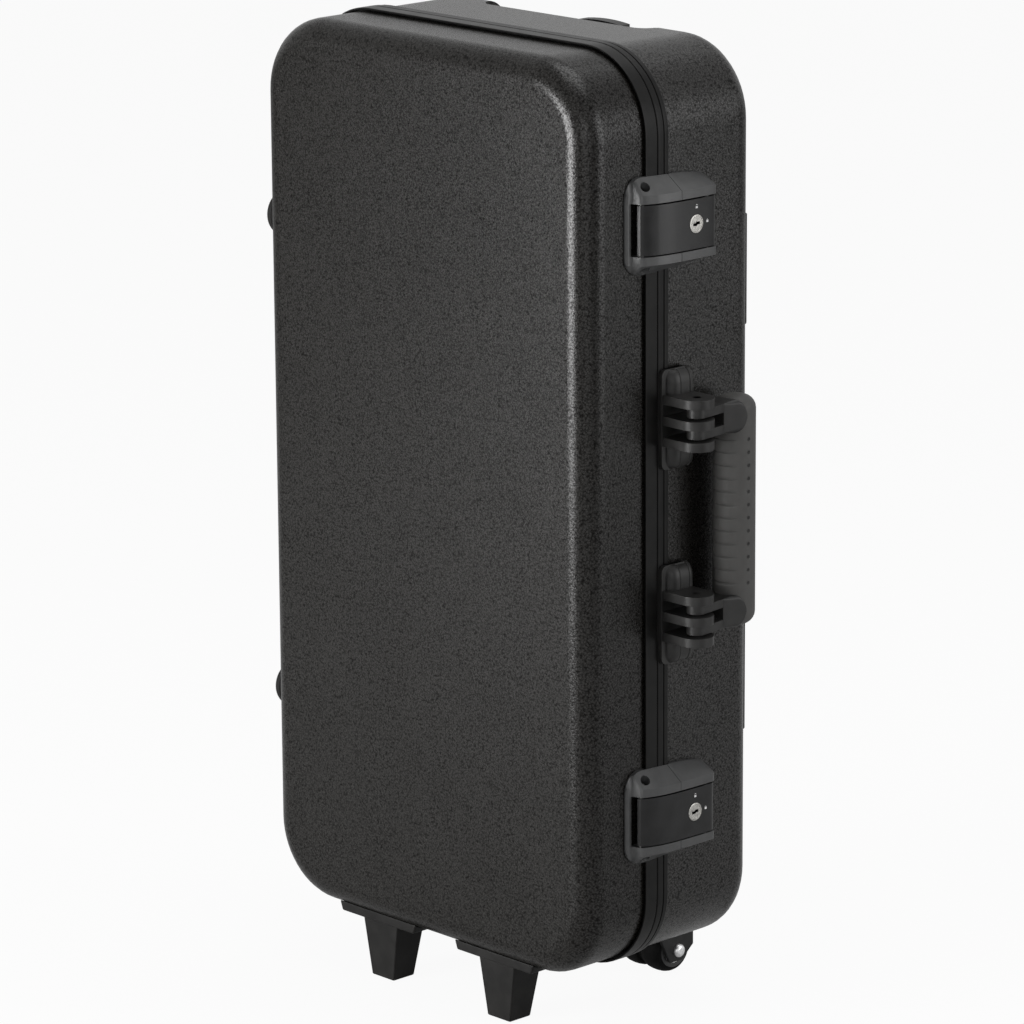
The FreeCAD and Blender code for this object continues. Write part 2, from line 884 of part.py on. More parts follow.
# Wheels under the back edge, with the axle along x
def cheek_outline():
    # The side plate of a wheel bracket, as (y, z): it laps the body, which is cut away later.
    low = axle_z - cheek_under_axle
    rear = axle_y + cheek_rear
    return [
        (axle_y - cheek_front, edge_radius),
        (axle_y - cheek_front, -flange_thickness),
        (axle_y - cheek_under_axle, low),
        (axle_y + cheek_under_axle / 2, low),
        (rear, axle_z + cheek_rear_drop),
        (rear, edge_radius / 2),
        (case_depth + flange_thickness, edge_radius + back_flange_length),
        (case_depth - edge_radius / 2, edge_radius + back_flange_length),
        (case_depth - edge_radius / 2, edge_radius),
    ]


def wheel_bracket_right():
    middle = wheel_spacing / 2
    inner = wheel_width / 2 + wheel_side_gap
    outer = inner + cheek_thickness
    pieces = []
    for hand in (-1, 1):
        ends = sorted((middle + hand * inner, middle + hand * outer))
        pieces.append(profile_on_side(cheek_outline(), ends[0], ends[1]))
    front = case_depth - edge_radius - bottom_flange_length
    pieces.append(
        block(middle - outer, middle + outer, front, case_depth - edge_radius, -flange_thickness, edge_radius)
    )
    top = edge_radius + back_flange_length
    pieces.append(
        block(
            middle - outer,
            middle + outer,
            case_depth - edge_radius / 2,
            case_depth + flange_thickness,
            edge_radius,
            top,
        )
    )
    bore = rod(
        axle_radius + pin_clearance,
        Vector(middle - outer - overrun, axle_y, axle_z),
        X_AXIS,
        2 * (outer + overrun),
    )
    holes = [screw_hole(seat, out, flange_thickness) for seat, out in flange_screw_seats(1)]
    return joined(pieces).cut([body_block(seat_gap), bore] + holes)


def wheel_axle_right():
    middle = wheel_spacing / 2
    reach = wheel_width / 2 + wheel_side_gap + cheek_thickness
    shank = rod(axle_radius, Vector(middle - reach, axle_y, axle_z), X_AXIS, 2 * reach)
    pieces = [shank]
    for hand in (-1, 1):
        seat = Vector(middle + hand * (reach + seat_gap / 2), axle_y, axle_z)
        head = rod(axle_head_radius, seat, X_AXIS * hand, axle_head_height)
        far = seat.x + hand * axle_head_height
        crown = lambda box: abs(box.XMin - far) < seat_gap and abs(box.XMax - far) < seat_gap
        pieces.append(rounded_edges(head, axle_head_height - move_gap, crown))
        pieces.append(rod(axle_radius, Vector(middle, axle_y, axle_z), X_AXIS * hand, reach + seat_gap))
    return joined(pieces)


def wheel_pieces_right():
    middle = wheel_spacing / 2
    start = Vector(middle - wheel_width / 2, axle_y, axle_z)
    hub = rod(hub_radius, start, X_AXIS, wheel_width)
    seats = []
    bearings = []
    for hand in (-1, 1):
        face = Vector(middle + hand * wheel_width / 2, axle_y, axle_z)
        seats.append(rod(bearing_radius + seat_gap, face, X_AXIS * -hand, bearing_width))
        race = rod(bearing_radius, face, X_AXIS * -hand, bearing_width - seat_gap)
        outside = face + X_AXIS * hand * overrun
        race_hole = rod(axle_radius + pin_clearance, outside, X_AXIS * -hand, wheel_width)
        bearings.append(race.cut(race_hole))
    bore = rod(axle_radius + 2 * move_gap, start - X_AXIS * overrun, X_AXIS, wheel_width + 2 * overrun)
    hub = hub.cut(seats + [bore])
    tyre = rod(wheel_radius, start, X_AXIS, wheel_width)
    rims = lambda box: box.XLength < seat_gap
    tyre = rounded_edges(tyre, tread_edge_radius, rims)
    groove_start = Vector(start.x + tread_width, axle_y, axle_z)
    groove_width_x = wheel_width - 2 * tread_width
    groove = rod(wheel_radius + overrun, groove_start, X_AXIS, groove_width_x)
    groove = groove.cut(rod(wheel_radius - tread_groove_depth, groove_start, X_AXIS, groove_width_x))
    tyre = tyre.cut([groove, rod(hub_radius + seat_gap, start, X_AXIS, wheel_width)])
    return hub, tyre, Part.makeCompound(bearings)


def make_wheels():
    hub, tyre, bearings = wheel_pieces_right()
    right = {
        "wheel_bracket": wheel_bracket_right(),
        "wheel_axle": wheel_axle_right(),
        "wheel_hub": hub,
        "wheel_tyre": tyre,
        "wheel_bearings": bearings,
    }
    for name, solid in right.items():
        nodes[name + "_right"] = solid
        nodes[name + "_left"] = mirrored(solid)


# Pull handle on the back: guides fixed to the base, tubes that slide up in them, and a grip
guide_y = case_depth + guide_stand + guide_depth / 2


def tube_block(side, shrink, z0, z1):
    face = outline_face(
        guide_width - 2 * shrink,
        guide_depth - 2 * shrink,
        max(guide_corner - shrink, seat_gap),
        lambda a, b: Vector(side * guide_spacing / 2 + a, guide_y + b, z0),
    )
    return face.extrude(Vector(0, 0, z1 - z0))


def guide_bracket(z0):
    solid = block(
        -guide_bracket_width / 2,
        guide_bracket_width / 2,
        case_depth,
        guide_y + guide_depth / 2 + guide_cap,
        z0,
        z0 + guide_bracket_height,
    )
    rear = guide_y + guide_depth / 2 + guide_cap
    solid = rounded_edges(solid, guide_cap, lambda box: box.YMin > rear - seat_gap)
    z1 = z0 + guide_bracket_height
    return solid.cut([tube_block(side, -seat_gap, z0 - overrun, z1 + overrun) for side in (-1, 1)])


tube_shrink = guide_wall + tube_clearance
tube_bottom = guide_top - pull_travel - tube_overlap
grip_bottom = pull_grip_top - pull_grip_height
grip_front = case_depth + pull_grip_behind
grip_back = case_depth + back_reach - pull_grip_behind
button_middle = grip_back - button_depth / 2 - guide_cap
yoke_middle = guide_y


def yoke(grow, drop):
    # The cross bar in the grip with a rod down each tube; drop lets it travel.
    top = grip_bottom + pull_grip_height / 2 + grow
    half = guide_spacing / 2
    depth = yoke_depth / 2 + grow
    bar = block(
        -half - yoke_rod_radius - grow,
        half + yoke_rod_radius + grow,
        yoke_middle - depth,
        yoke_middle + depth,
        top - yoke_height - 2 * grow - drop,
        top,
    )
    pieces = [bar]
    for side in (-1, 1):
        foot = Vector(side * half, yoke_middle, tube_bottom + yoke_rod_stop - grow)
        pieces.append(rod(yoke_rod_radius + grow, foot, Z_AXIS, top - foot.z - yoke_height / 2))
    return joined(pieces)


def button(grow, drop):
    # The release button: an arched cap that stands over the grip, on a stem that reaches the yoke.
    half = button_width / 2 + grow
    depth = button_depth / 2 + grow
    top = pull_grip_top + button_rise
    low = pull_grip_top - button_sink - grow - drop
    crown = Part.Arc(
        Vector(-half, button_middle - depth, top - button_crown),
        Vector(0, button_middle - depth, top),
        Vector(half, button_middle - depth, top - button_crown),
    ).toShape()
    corners = [
        Vector(half, button_middle - depth, top - button_crown),
        Vector(half, button_middle - depth, low),
        Vector(-half, button_middle - depth, low),
        Vector(-half, button_middle - depth, top - button_crown),
    ]
    sides = Part.makePolygon(corners)
    return Part.Face(Part.Wire([crown] + sides.Edges)).extrude(Vector(0, 2 * depth, 0))


def button_stem(grow, drop):
    depth = yoke_depth / 2 + grow
    half = button_width / 4 + grow
    low = grip_bottom + pull_grip_height / 2 - drop
    high = pull_grip_top - button_sink + grow
    return block(-half, half, yoke_middle - depth, button_middle + depth, low, high)


def make_pull_handle():
    for name, side in (("left", -1), ("right", 1)):
        guide = tube_block(side, 0, guide_bottom, guide_top)
        nodes["guide_tube_" + name] = guide.cut(
            tube_block(side, guide_wall, guide_bottom + guide_cap, guide_top + overrun)
        )
        tube = tube_block(side, tube_shrink, tube_bottom, grip_bottom)
        bore = tube_block(side, tube_shrink + tube_wall, tube_bottom - overrun, grip_bottom + overrun)
        nodes["pull_tube_" + name] = tube.cut(bore)
    nodes["guide_bracket_top"] = guide_bracket(guide_top - guide_bracket_height)
    nodes["guide_bracket_bottom"] = guide_bracket(guide_bottom)

    grip = block(-pull_grip_width / 2, pull_grip_width / 2, grip_front, grip_back, grip_bottom, pull_grip_top)
    grip = rounded_edges(grip, pull_grip_radius, lambda box: box.XLength > seat_gap)
    hollows = [make(move_gap, button_travel) for make in (yoke, button, button_stem)]
    nodes["pull_grip"] = grip.cut(hollows)
    nodes["release_button"] = joined([button(0, 0), button_stem(0, 0)])
    nodes["release_yoke"] = yoke(0, 0)


def make_screws():
    lid = []
    base = []
    for side in (-1, 1):
        depth = foot_flange_thickness + wall
        lid += [screw_with_shank(seat, out, depth) for seat, out in foot_screw_seats(side)]
        depth = flange_thickness + wall
        base += [screw_with_shank(seat, out, depth) for seat, out in flange_screw_seats(side)]
    depth = bumper_thickness - bumper_screw_sink + wall
    lid += [screw_with_shank(seat, out, depth) for seat, out in bumper_screw_seats(lid_bumper_setback)]
    base_setback = lid_depth + base_bumper_behind
    base += [screw_with_shank(seat, out, depth) for seat, out in bumper_screw_seats(base_setback)]
    nodes["lid_screws"] = Part.makeCompound(lid)
    nodes["base_screws"] = Part.makeCompound(base)


def write_nodes():
    os.makedirs("parts", exist_ok=True)
    for name, solid in nodes.items():
        placed = solid.copy()
        placed.translate(origin_shift)
        placed.exportStep("parts/" + name + ".step")
        print(name, len(placed.Solids), "solids, volume", round(placed.Volume, 1), "valid", placed.isValid())


make_shells()
make_linings()
make_valances()
make_hinges()
make_latches()
make_handle()
make_lid_feet()
make_bumpers()
make_back_feet()
make_wheels()
make_pull_handle()
make_screws()
write_nodes()
print("origin shift", origin_shift)
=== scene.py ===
import math
import bmesh
import bpy
from mathutils import Matrix, Vector


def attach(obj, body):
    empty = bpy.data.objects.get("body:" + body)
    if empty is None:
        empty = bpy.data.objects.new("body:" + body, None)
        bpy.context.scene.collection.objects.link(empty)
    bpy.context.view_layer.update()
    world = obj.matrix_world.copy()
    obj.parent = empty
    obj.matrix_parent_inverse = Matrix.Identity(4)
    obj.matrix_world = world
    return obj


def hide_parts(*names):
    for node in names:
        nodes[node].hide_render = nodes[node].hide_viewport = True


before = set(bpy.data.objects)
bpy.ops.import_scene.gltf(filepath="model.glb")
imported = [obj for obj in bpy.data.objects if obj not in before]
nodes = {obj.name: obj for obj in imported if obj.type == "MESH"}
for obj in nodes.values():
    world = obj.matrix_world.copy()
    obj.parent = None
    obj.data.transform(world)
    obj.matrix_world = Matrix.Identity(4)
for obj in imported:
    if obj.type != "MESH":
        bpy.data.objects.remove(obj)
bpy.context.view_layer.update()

bpy.context.scene.view_settings.view_transform = "Standard"
print("frame loaded with", len(nodes), "nodes")

# millimetres in the case's own frame: x 0 in the middle, y 0 at the lid's front, z 0 under the body
millimetre = 0.001
perMetre = 1000.0
case = {
    "half": 178.0, "height": 700.0, "depth": 178.0, "corner": 60.0, "edge": 20.0, "wall": 4.0,
    "lidRim": 66.7, "baseRim": 75.3, "rimStep": 0.1, "past": 5.0, "shift": (-11.0, -102.5, 52.0),
    "cornerSteps": 14, "edgeSteps": 8,
}
# touch: places this near count as one; weld: points this near are joined; cut: the same at a cut
near = {"touch": 0.01, "weld": 0.0005, "cut": 0.001}


# camera, from the fit of the case's outline in the photograph
cameraFit = {
    "azimuth": 46.55302, "elevation": 14.48146, "roll": -0.37472, "focal": 5334.4164, "distance": 4023.019,
    "across": -68.4166, "up": 10.30382, "aim": (0.0, 0.0, 350.0), "frame": 1024, "sensor": 36.0, "clip": 60.0,
}


def setCamera():
    turn = math.radians(cameraFit["azimuth"])
    lift = math.radians(cameraFit["elevation"])
    roll = math.radians(cameraFit["roll"])
    back = Vector((math.sin(turn) * math.cos(lift), -math.cos(turn) * math.cos(lift), math.sin(lift)))
    level = (-back).cross(Vector((0, 0, 1))).normalized()
    above = level.cross(-back)
    right = math.cos(roll) * level + math.sin(roll) * above
    up = -math.sin(roll) * level + math.cos(roll) * above
    eye = Vector(cameraFit["aim"]) + Vector(case["shift"]) + back * cameraFit["distance"]
    eye -= right * cameraFit["across"] + up * cameraFit["up"]
    data = bpy.data.cameras.new("camera")
    data.sensor_width = cameraFit["sensor"]
    data.lens = cameraFit["focal"] / cameraFit["frame"] * cameraFit["sensor"]
    data.clip_end = cameraFit["clip"]
    camera = bpy.data.objects.new("camera", data)
    bpy.context.collection.objects.link(camera)
    facing = Matrix((right, up, back)).transposed().to_4x4()
    camera.matrix_world = Matrix.Translation(eye * millimetre) @ facing
    bpy.context.scene.camera = camera


setCamera()
print("camera set")


# materials
def fill(tree, node, **inputs):
    # sets numbers and tones on a node's sockets, and links the outputs of other nodes to them
    for key, value in inputs.items():
        socket = node.inputs[key.replace("_", " ")]
        if isinstance(value, bpy.types.NodeSocket):
            tree.links.new(value, socket)
        else:
            socket.default_value = value
    return node


def nodeOf(tree, kind, **inputs):
    return fill(tree, tree.nodes.new(kind), **inputs)


def newMaterial(name, **inputs):
    material = bpy.data.materials.new(name)
    material.use_nodes = True
    tree = material.node_tree
    shader = fill(tree, tree.nodes["Principled BSDF"], **inputs)
    return material, tree, shader, nodeOf(tree, "ShaderNodeTexCoord").outputs["Object"]


def stretched(tree, coords, scale, turn=(0, 0, 0)):
    return nodeOf(tree, "ShaderNodeMapping", Scale=scale, Rotation=turn, Vector=coords).outputs["Vector"]


def noiseOf(tree, coords, size, detail=2.0, rough=0.5):
    # size is the pattern's grain in millimetres
    return nodeOf(tree, "ShaderNodeTexNoise", Scale=perMetre / size, Detail=detail, Roughness=rough,
                  Vector=coords).outputs[0]


def pebblesOf(tree, coords, size, smooth):
    texture = tree.nodes.new("ShaderNodeTexVoronoi")
    texture.feature = "SMOOTH_F1"
    fill(tree, texture, Scale=perMetre / size, Smoothness=smooth, Vector=coords)
    return texture.outputs["Distance"]


def mathOf(tree, kind, first, second):
    step = tree.nodes.new("ShaderNodeMath")
    step.operation = kind
    for socket, value in zip(step.inputs, (first, second)):
        if isinstance(value, (int, float)):
            socket.default_value = value
        else:
            tree.links.new(value, socket)
    return step.outputs[0]


def timesOf(tree, first, second):
    return mathOf(tree, "MULTIPLY", first, second)


def rangeOf(tree, value, low, high, start=0.3, end=0.7):
    return nodeOf(tree, "ShaderNodeMapRange", Value=value, From_Min=start, From_Max=end, To_Min=low,
                  To_Max=high).outputs["Result"]


def tonesOf(tree, value, dark, light, start=0.3, end=0.7):
    ramp = nodeOf(tree, "ShaderNodeValToRGB", Fac=value)
    for element, spot, tone in zip(ramp.color_ramp.elements, (start, end), (dark, light)):
        element.position = spot
        element.color = (*tone, 1)
    return ramp.outputs["Color"]


def bumpOf(tree, shader, height, depth):
    # depth in millimetres
    bump = nodeOf(tree, "ShaderNodeBump", Strength=1.0, Distance=depth * millimetre, Height=height)
    fill(tree, shader, Normal=bump.outputs["Normal"])


# the shells' grain, its colour darker in the pits as painted shade; the last two are the specular levels of
# each shell, in the pits and on the pebbles
pebble = {
    "size": 1.5, "smooth": 0.7, "fine": 0.7, "fineRough": 0.6, "fineShare": 0.8, "cloud": 70.0,
    "cloudShare": 0.12, "span": (-0.35, 0.4), "depth": 0.08, "rough": (0.24, 0.32),
    "dark": (0.0016, 0.0014, 0.0011), "light": (0.0098, 0.0089, 0.0078),
    "pebbleLid": (0.09, 0.46), "pebbleBase": (0.13, 0.64),
}


def pebbleShell(name):
    # moulded pebble grain: rounded cells with a fine tooth on them, dull in the pits between, where the
    # colour is darkened as painted shade
    material, tree, shader, coords = newMaterial(name)
    cells = pebblesOf(tree, coords, pebble["size"], pebble["smooth"])
    tooth = noiseOf(tree, coords, pebble["fine"], rough=pebble["fineRough"])
    cloud = noiseOf(tree, coords, pebble["cloud"], detail=3.0)
    height = mathOf(tree, "SUBTRACT", timesOf(tree, tooth, pebble["fineShare"]), cells)
    tone = mathOf(tree, "ADD", height, timesOf(tree, cloud, pebble["cloudShare"]))
    # colour from dark pits to light pebble tops: painted shade in the pits, plus a random cloud of tone
    pitShadeAndCloud = rangeOf(tree, tone, 0.0, 1.0, *pebble["span"])
    fill(tree, shader, Base_Color=tonesOf(tree, pitShadeAndCloud, pebble["dark"], pebble["light"], 0.0, 1.0),
         Specular_IOR_Level=rangeOf(tree, tone, *pebble[name], *pebble["span"]),
         Roughness=rangeOf(tree, tooth, *pebble["rough"]))
    bumpOf(tree, shader, height, pebble["depth"])
    return material


# smooth and satin mouldings: size of the mottle, size and depth of the skin in millimetres
plasticColumns = ("dark", "light", "rough", "mottle", "skin", "depth", "specular")
plasticLooks = {
    "valanceBlack": ((0.004, 0.004, 0.0039), (0.009, 0.0088, 0.0085), (0.3, 0.4), 18.0, 0.5, 0.03, 0.13),
    "bezelGrey": ((0.032, 0.0325, 0.033), (0.044, 0.0445, 0.045), (0.32, 0.42), 9.0, 0.45, 0.03, 0.5),
    "leverBlack": ((0.004, 0.004, 0.0042), (0.009, 0.009, 0.0094), (0.28, 0.38), 12.0, 0.35, 0.02, 0.3),
    "handleBlack": ((0.008, 0.0078, 0.0075), (0.018, 0.0176, 0.017), (0.38, 0.5), 10.0, 0.4, 0.03, 0.28),
    "footBlack": ((0.004, 0.0038, 0.0036), (0.01, 0.0096, 0.009), (0.4, 0.52), 14.0, 0.6, 0.05, 0.17),
    "bracketBlack": ((0.005, 0.005, 0.005), (0.012, 0.012, 0.012), (0.38, 0.52), 7.0, 0.9, 0.06, 0.24),
    "bumperRubber": ((0.005, 0.005, 0.005), (0.013, 0.0126, 0.012), (0.6, 0.78), 8.0, 0.5, 0.05, 0.15),
    "tyreRubber": ((0.0018, 0.0018, 0.0018), (0.005, 0.005, 0.005), (0.5, 0.7), 5.0, 0.5, 0.05, 0.07),
    "hubGrey": ((0.03, 0.03, 0.03), (0.05, 0.05, 0.05), (0.4, 0.55), 5.0, 0.4, 0.03, 0.3),
    "guideBlack": ((0.012, 0.012, 0.0125), (0.022, 0.022, 0.0225), (0.34, 0.46), 22.0, 0.3, 0.02, 0.3),
}


def satinPlastic(name):
    look = dict(zip(plasticColumns, plasticLooks[name]))
    material, tree, shader, coords = newMaterial(name, Specular_IOR_Level=look["specular"])
    mottle = noiseOf(tree, coords, look["mottle"], detail=4.0, rough=0.55)
    skin = noiseOf(tree, coords, look["skin"])
    both = mathOf(tree, "ADD", timesOf(tree, mottle, 0.5), timesOf(tree, skin, 0.5))
    fill(tree, shader, Base_Color=tonesOf(tree, mottle, look["dark"], look["light"]),
         Roughness=rangeOf(tree, both, *look["rough"]))
    bumpOf(tree, shader, skin, look["depth"])
    return material


# drawn and turned metal: the stretch runs the scratches along the piece
metalColumns = ("dark", "light", "rough", "stretch", "size", "depth")
metalLooks = {
    "pinSteel": ((0.42, 0.42, 0.41), (0.6, 0.6, 0.59), (0.22, 0.38), (1.0, 1.0, 0.05), 0.5, 0.01),
    "axleSteel": ((0.6, 0.6, 0.61), (0.78, 0.78, 0.78), (0.36, 0.48), (0.2, 1.0, 1.0), 0.6, 0.01),
    "keyNickel": ((0.16, 0.155, 0.145), (0.56, 0.55, 0.52), (0.26, 0.5), (1.0, 1.0, 1.0), 0.9, 0.05),
    "tubeAluminium": ((0.5, 0.5, 0.51), (0.6, 0.6, 0.61), (0.26, 0.36), (1.0, 1.0, 0.01), 0.35, 0.008),
}


def drawnMetal(name):
    look = dict(zip(metalColumns, metalLooks[name]))
    material, tree, shader, coords = newMaterial(name, Metallic=1.0)
    lines = noiseOf(tree, stretched(tree, coords, look["stretch"]), look["size"], detail=3.0, rough=0.6)
    fill(tree, shader, Base_Color=tonesOf(tree, lines, look["dark"], look["light"]),
         Roughness=rangeOf(tree, lines, *look["rough"]))
    bumpOf(tree, shader, lines, look["depth"])
    return material


cloth = {
    "thread": 0.9, "waves": 6.3, "wander": 1.4, "threadShare": 0.35, "fuzz": 0.35, "fuzzRough": 0.7,
    "fuzzShare": 0.5, "dark": (0.018, 0.018, 0.02), "light": (0.055, 0.055, 0.06), "span": (0.25, 0.9),
    "rough": (0.82, 0.98), "depth": 0.25, "specular": 0.15, "sheen": 0.5, "sheenRough": 0.6,
}


def liningCloth():
    # brushed knit on foam: crossing ribs, a soft fuzz over them
    material, tree, shader, coords = newMaterial(
        "liningCloth", Specular_IOR_Level=cloth["specular"], Sheen_Weight=cloth["sheen"],
        Sheen_Roughness=cloth["sheenRough"])
    weaves = []
    for turn in ((0, 0, 0), (0, math.radians(90), 0)):
        wave = nodeOf(tree, "ShaderNodeTexWave", Scale=perMetre / (cloth["thread"] * cloth["waves"]),
                      Distortion=cloth["wander"], Detail=1.0, Vector=stretched(tree, coords, (1, 1, 1), turn))
        weaves.append(wave.outputs["Fac"])
    fuzz = noiseOf(tree, coords, cloth["fuzz"], detail=3.0, rough=cloth["fuzzRough"])
    threads = timesOf(tree, mathOf(tree, "ADD", *weaves), cloth["threadShare"])
    height = mathOf(tree, "ADD", threads, timesOf(tree, fuzz, cloth["fuzzShare"]))
    fill(tree, shader, Base_Color=tonesOf(tree, height, cloth["dark"], cloth["light"], *cloth["span"]),
         Roughness=rangeOf(tree, fuzz, *cloth["rough"]))
    bumpOf(tree, shader, height, cloth["depth"])
    return material


# carry handle: built straight along y from its pivot, then folded by a few degrees about it
# arm: (y, height) of its slices; flare: width at its start and the gain per millimetre
# armCorner: rounding at its start, the gain per millimetre and the most
handle = {
    "pivot": (207.0, 85.7), "fold": 8.0, "middles": {"lower": 279.9, "upper": 428.9}, "middle": 354.4,
    "prongHalf": 7.5, "prongThick": 6.6, "prongPitch": 16.0, "prongEnd": 27.0, "prongSteps": 8, "reach": 46.5,
    "arm": ((23.0, 22.6), (25.0, 23.0), (27.5, 23.8), (30.0, 24.5), (32.5, 25.0), (34.5, 25.3), (36.0, 24.8),
            (37.5, 23.4), (38.9, 20.8), (40.1, 16.8), (41.0, 11.6), (41.5, 5.0)),
    "flare": (15.1, 0.888), "tongueRadius": 16.35, "armCorner": (1.0, 0.3, 3.5), "armSteps": 4,
    "pinHole": 3.15, "pinReach": 25.0, "coreRadius": 8.0, "coreStop": 14.0, "rounding": 0.9, "sharp": 42.0,
    "gripRadius": 16.0, "gripHalf": 87.75, "gripEnd": 10.0, "endSteps": 6, "gripSteps": 72, "skin": 0.05,
    "grooves": 12, "groovePitch": 10.0, "grooveRise": 1.3, "grooveDepth": 0.75, "grooveReach": 0.5,
    "grooveSide": 0.7, "grooveSpread": 46.0, "grooveFade": 14.0,
    "grooveStops": (-2.4, -0.75, -0.4, 0.0, 0.4, 0.75, 2.4),
    "dotRadius": 1.3, "dotEdge": (0.6, 1.3), "dotTurn": 12.0,
}
gripLook = {
    "dark": (0.004, 0.0039, 0.0037), "light": (0.066, 0.0647, 0.0622), "rough": (0.5, 0.64), "specular": 0.24,
    "ground": 0.65, "mottle": 9.0, "mottleShare": 0.35, "dotShadeShare": 0.75, "skin": 0.5,
    "skinShare": 0.05, "depth": 0.7,
}


def softGrip():
    # soft-touch over-mould with a fine skin and a row of small sunk dots along its outer side, darkened as
    # painted shade in them
    material, tree, shader, coords = newMaterial("softGrip", Specular_IOR_Level=gripLook["specular"])
    shift = Vector(case["shift"]) * millimetre
    fold = math.radians(handle["fold"])
    reach = handle["reach"]
    axisX = (handle["pivot"][0] - math.sin(fold) * reach) * millimetre + shift.x
    axisY = (handle["pivot"][1] + math.cos(fold) * reach) * millimetre + shift.y
    height = (handle["middle"] + handle["grooveRise"]) * millimetre + shift.z
    turned = nodeOf(tree, "ShaderNodeMapping", Location=(axisX, axisY, height), Vector=coords,
                    Rotation=(0, 0, fold - math.radians(handle["dotTurn"])))
    turned.vector_type = "TEXTURE"
    parts = nodeOf(tree, "ShaderNodeSeparateXYZ", Vector=turned.outputs["Vector"])
    across, up = parts.outputs["Y"], parts.outputs["Z"]
    pitch = handle["groovePitch"] * millimetre
    onward = mathOf(tree, "PINGPONG", mathOf(tree, "ADD", up, pitch / 2), pitch / 2)
    squares = mathOf(tree, "ADD", timesOf(tree, onward, onward), timesOf(tree, across, across))
    away = mathOf(tree, "SQRT", squares, 0.0)
    edge = [handle["dotRadius"] * share * millimetre for share in handle["dotEdge"]]
    dot = rangeOf(tree, away, 1.0, 0.0, *edge)
    outer = mathOf(tree, "GREATER_THAN", parts.outputs["X"], 0.0)
    inRow = mathOf(tree, "LESS_THAN", mathOf(tree, "ABSOLUTE", up, 0.0), pitch * handle["grooves"] / 2)
    dots = timesOf(tree, timesOf(tree, dot, outer), inRow)
    mottle = noiseOf(tree, coords, gripLook["mottle"], detail=4.0)
    skin = noiseOf(tree, coords, gripLook["skin"])
    ground = mathOf(tree, "ADD", timesOf(tree, mottle, gripLook["mottleShare"]), gripLook["ground"])
    # the dots take tone away from the colour: painted shade in the sunk dots
    tone = mathOf(tree, "SUBTRACT", ground, timesOf(tree, dots, gripLook["dotShadeShare"]))
    fill(tree, shader, Base_Color=tonesOf(tree, tone, gripLook["dark"], gripLook["light"], 0.0, 1.0),
         Roughness=rangeOf(tree, skin, *gripLook["rough"]))
    relief = mathOf(tree, "SUBTRACT", timesOf(tree, skin, gripLook["skinShare"]), dots)
    bumpOf(tree, shader, relief, gripLook["depth"])
    return material


markLook = {"size": 0.4, "dark": (0.5, 0.5, 0.5), "light": (0.75, 0.75, 0.75), "rough": (0.45, 0.6)}


def paleMark():
    material, tree, shader, coords = newMaterial("paleMark")
    speck = noiseOf(tree, coords, markLook["size"])
    fill(tree, shader, Base_Color=tonesOf(tree, speck, markLook["dark"], markLook["light"]),
         Roughness=rangeOf(tree, speck, *markLook["rough"]))
    return material


finish = {name: satinPlastic(name) for name in plasticLooks}
finish.update({name: drawnMetal(name) for name in metalLooks})
finish.update({name: pebbleShell(name) for name in ("pebbleLid", "pebbleBase")})
finish.update({"liningCloth": liningCloth(), "softGrip": softGrip(), "paleMark": paleMark()})
print("materials made:", len(finish))


# mesh helpers, all in millimetres until a piece is kept
def rounded(bm, geom, radius, steps, kind="EDGES"):
    bmesh.ops.bevel(bm, geom=geom, offset=radius, offset_type="OFFSET", segments=steps, profile=0.5,
                    affect=kind, material=-1)


def cutRound(bm, corners, radius, steps, picks=slice(None)):
    # a flat face on these corners, rounded off at the picked ones
    before = set(bm.faces)
    verts = [bm.verts.new(corner) for corner in corners]
    bm.faces.new(verts)
    if radius:
        rounded(bm, verts[picks], radius, steps, "VERTICES")
    return (set(bm.faces) - before).pop()


def drawOut(bm, face, way):
    # makes a face into a solid that reaches along the way
    grown = bmesh.ops.extrude_face_region(bm, geom=[face])["geom"]
    bmesh.ops.translate(bm, vec=way, verts=[item for item in grown if isinstance(item, bmesh.types.BMVert)])


def edgesAt(bm, axis, place):
    # the edges that lie in one plane across an axis
    return [edge for edge in bm.edges
            if all(abs(getattr(vert.co, axis) - place) < near["touch"] for vert in edge.verts)]


def runsAlong(edge, axis):
    first, second = edge.verts
    return abs(getattr(first.co, axis) - getattr(second.co, axis)) > near["touch"]


def sliceAt(bm, point, normal):
    bmesh.ops.bisect_plane(bm, geom=bm.verts[:] + bm.edges[:] + bm.faces[:], dist=near["cut"], plane_co=point,
                           plane_no=normal)


def bridgeFaces(bm, faces, closed=False):
    # walls from each face's rim to the next one's; only the end faces stay
    rims = [list(face.edges) for face in faces]
    bmesh.ops.delete(bm, geom=list(faces) if closed else list(faces[1:-1]), context="FACES_ONLY")
    pairs = list(zip(rims, rims[1:]))
    if closed:
        pairs.append((rims[-1], rims[0]))
    for first, second in pairs:
        bmesh.ops.bridge_loops(bm, edges=first + second)


def sweepOutline(bm, profile, closed=False):
    # the case's rounded outline, carried along (grow, y) pairs
    faces = []
    for grow, y in profile:
        half = case["half"] + grow
        top = case["height"] + grow
        corners = ((-half, y, -grow), (half, y, -grow), (half, y, top), (-half, y, top))
        faces.append(cutRound(bm, corners, case["corner"] + grow, case["cornerSteps"]))
    bridgeFaces(bm, faces, closed)


def quarterTurn(steps):
    # cosine and sine of equal steps through a quarter turn
    angles = [math.pi / 2 * step / steps for step in range(steps + 1)]
    return [(math.cos(angle), math.sin(angle)) for angle in angles]


def edgeArc(grow, back):
    # the rounded front or back edge of the case as (grow, y) pairs, from the flat to the side
    edge = case["edge"]
    radius = edge + grow
    spots = []
    for cosine, sine in quarterTurn(case["edgeSteps"]):
        y = edge - radius * cosine
        spots.append((-edge + radius * sine, case["depth"] - y if back else y))
    return spots


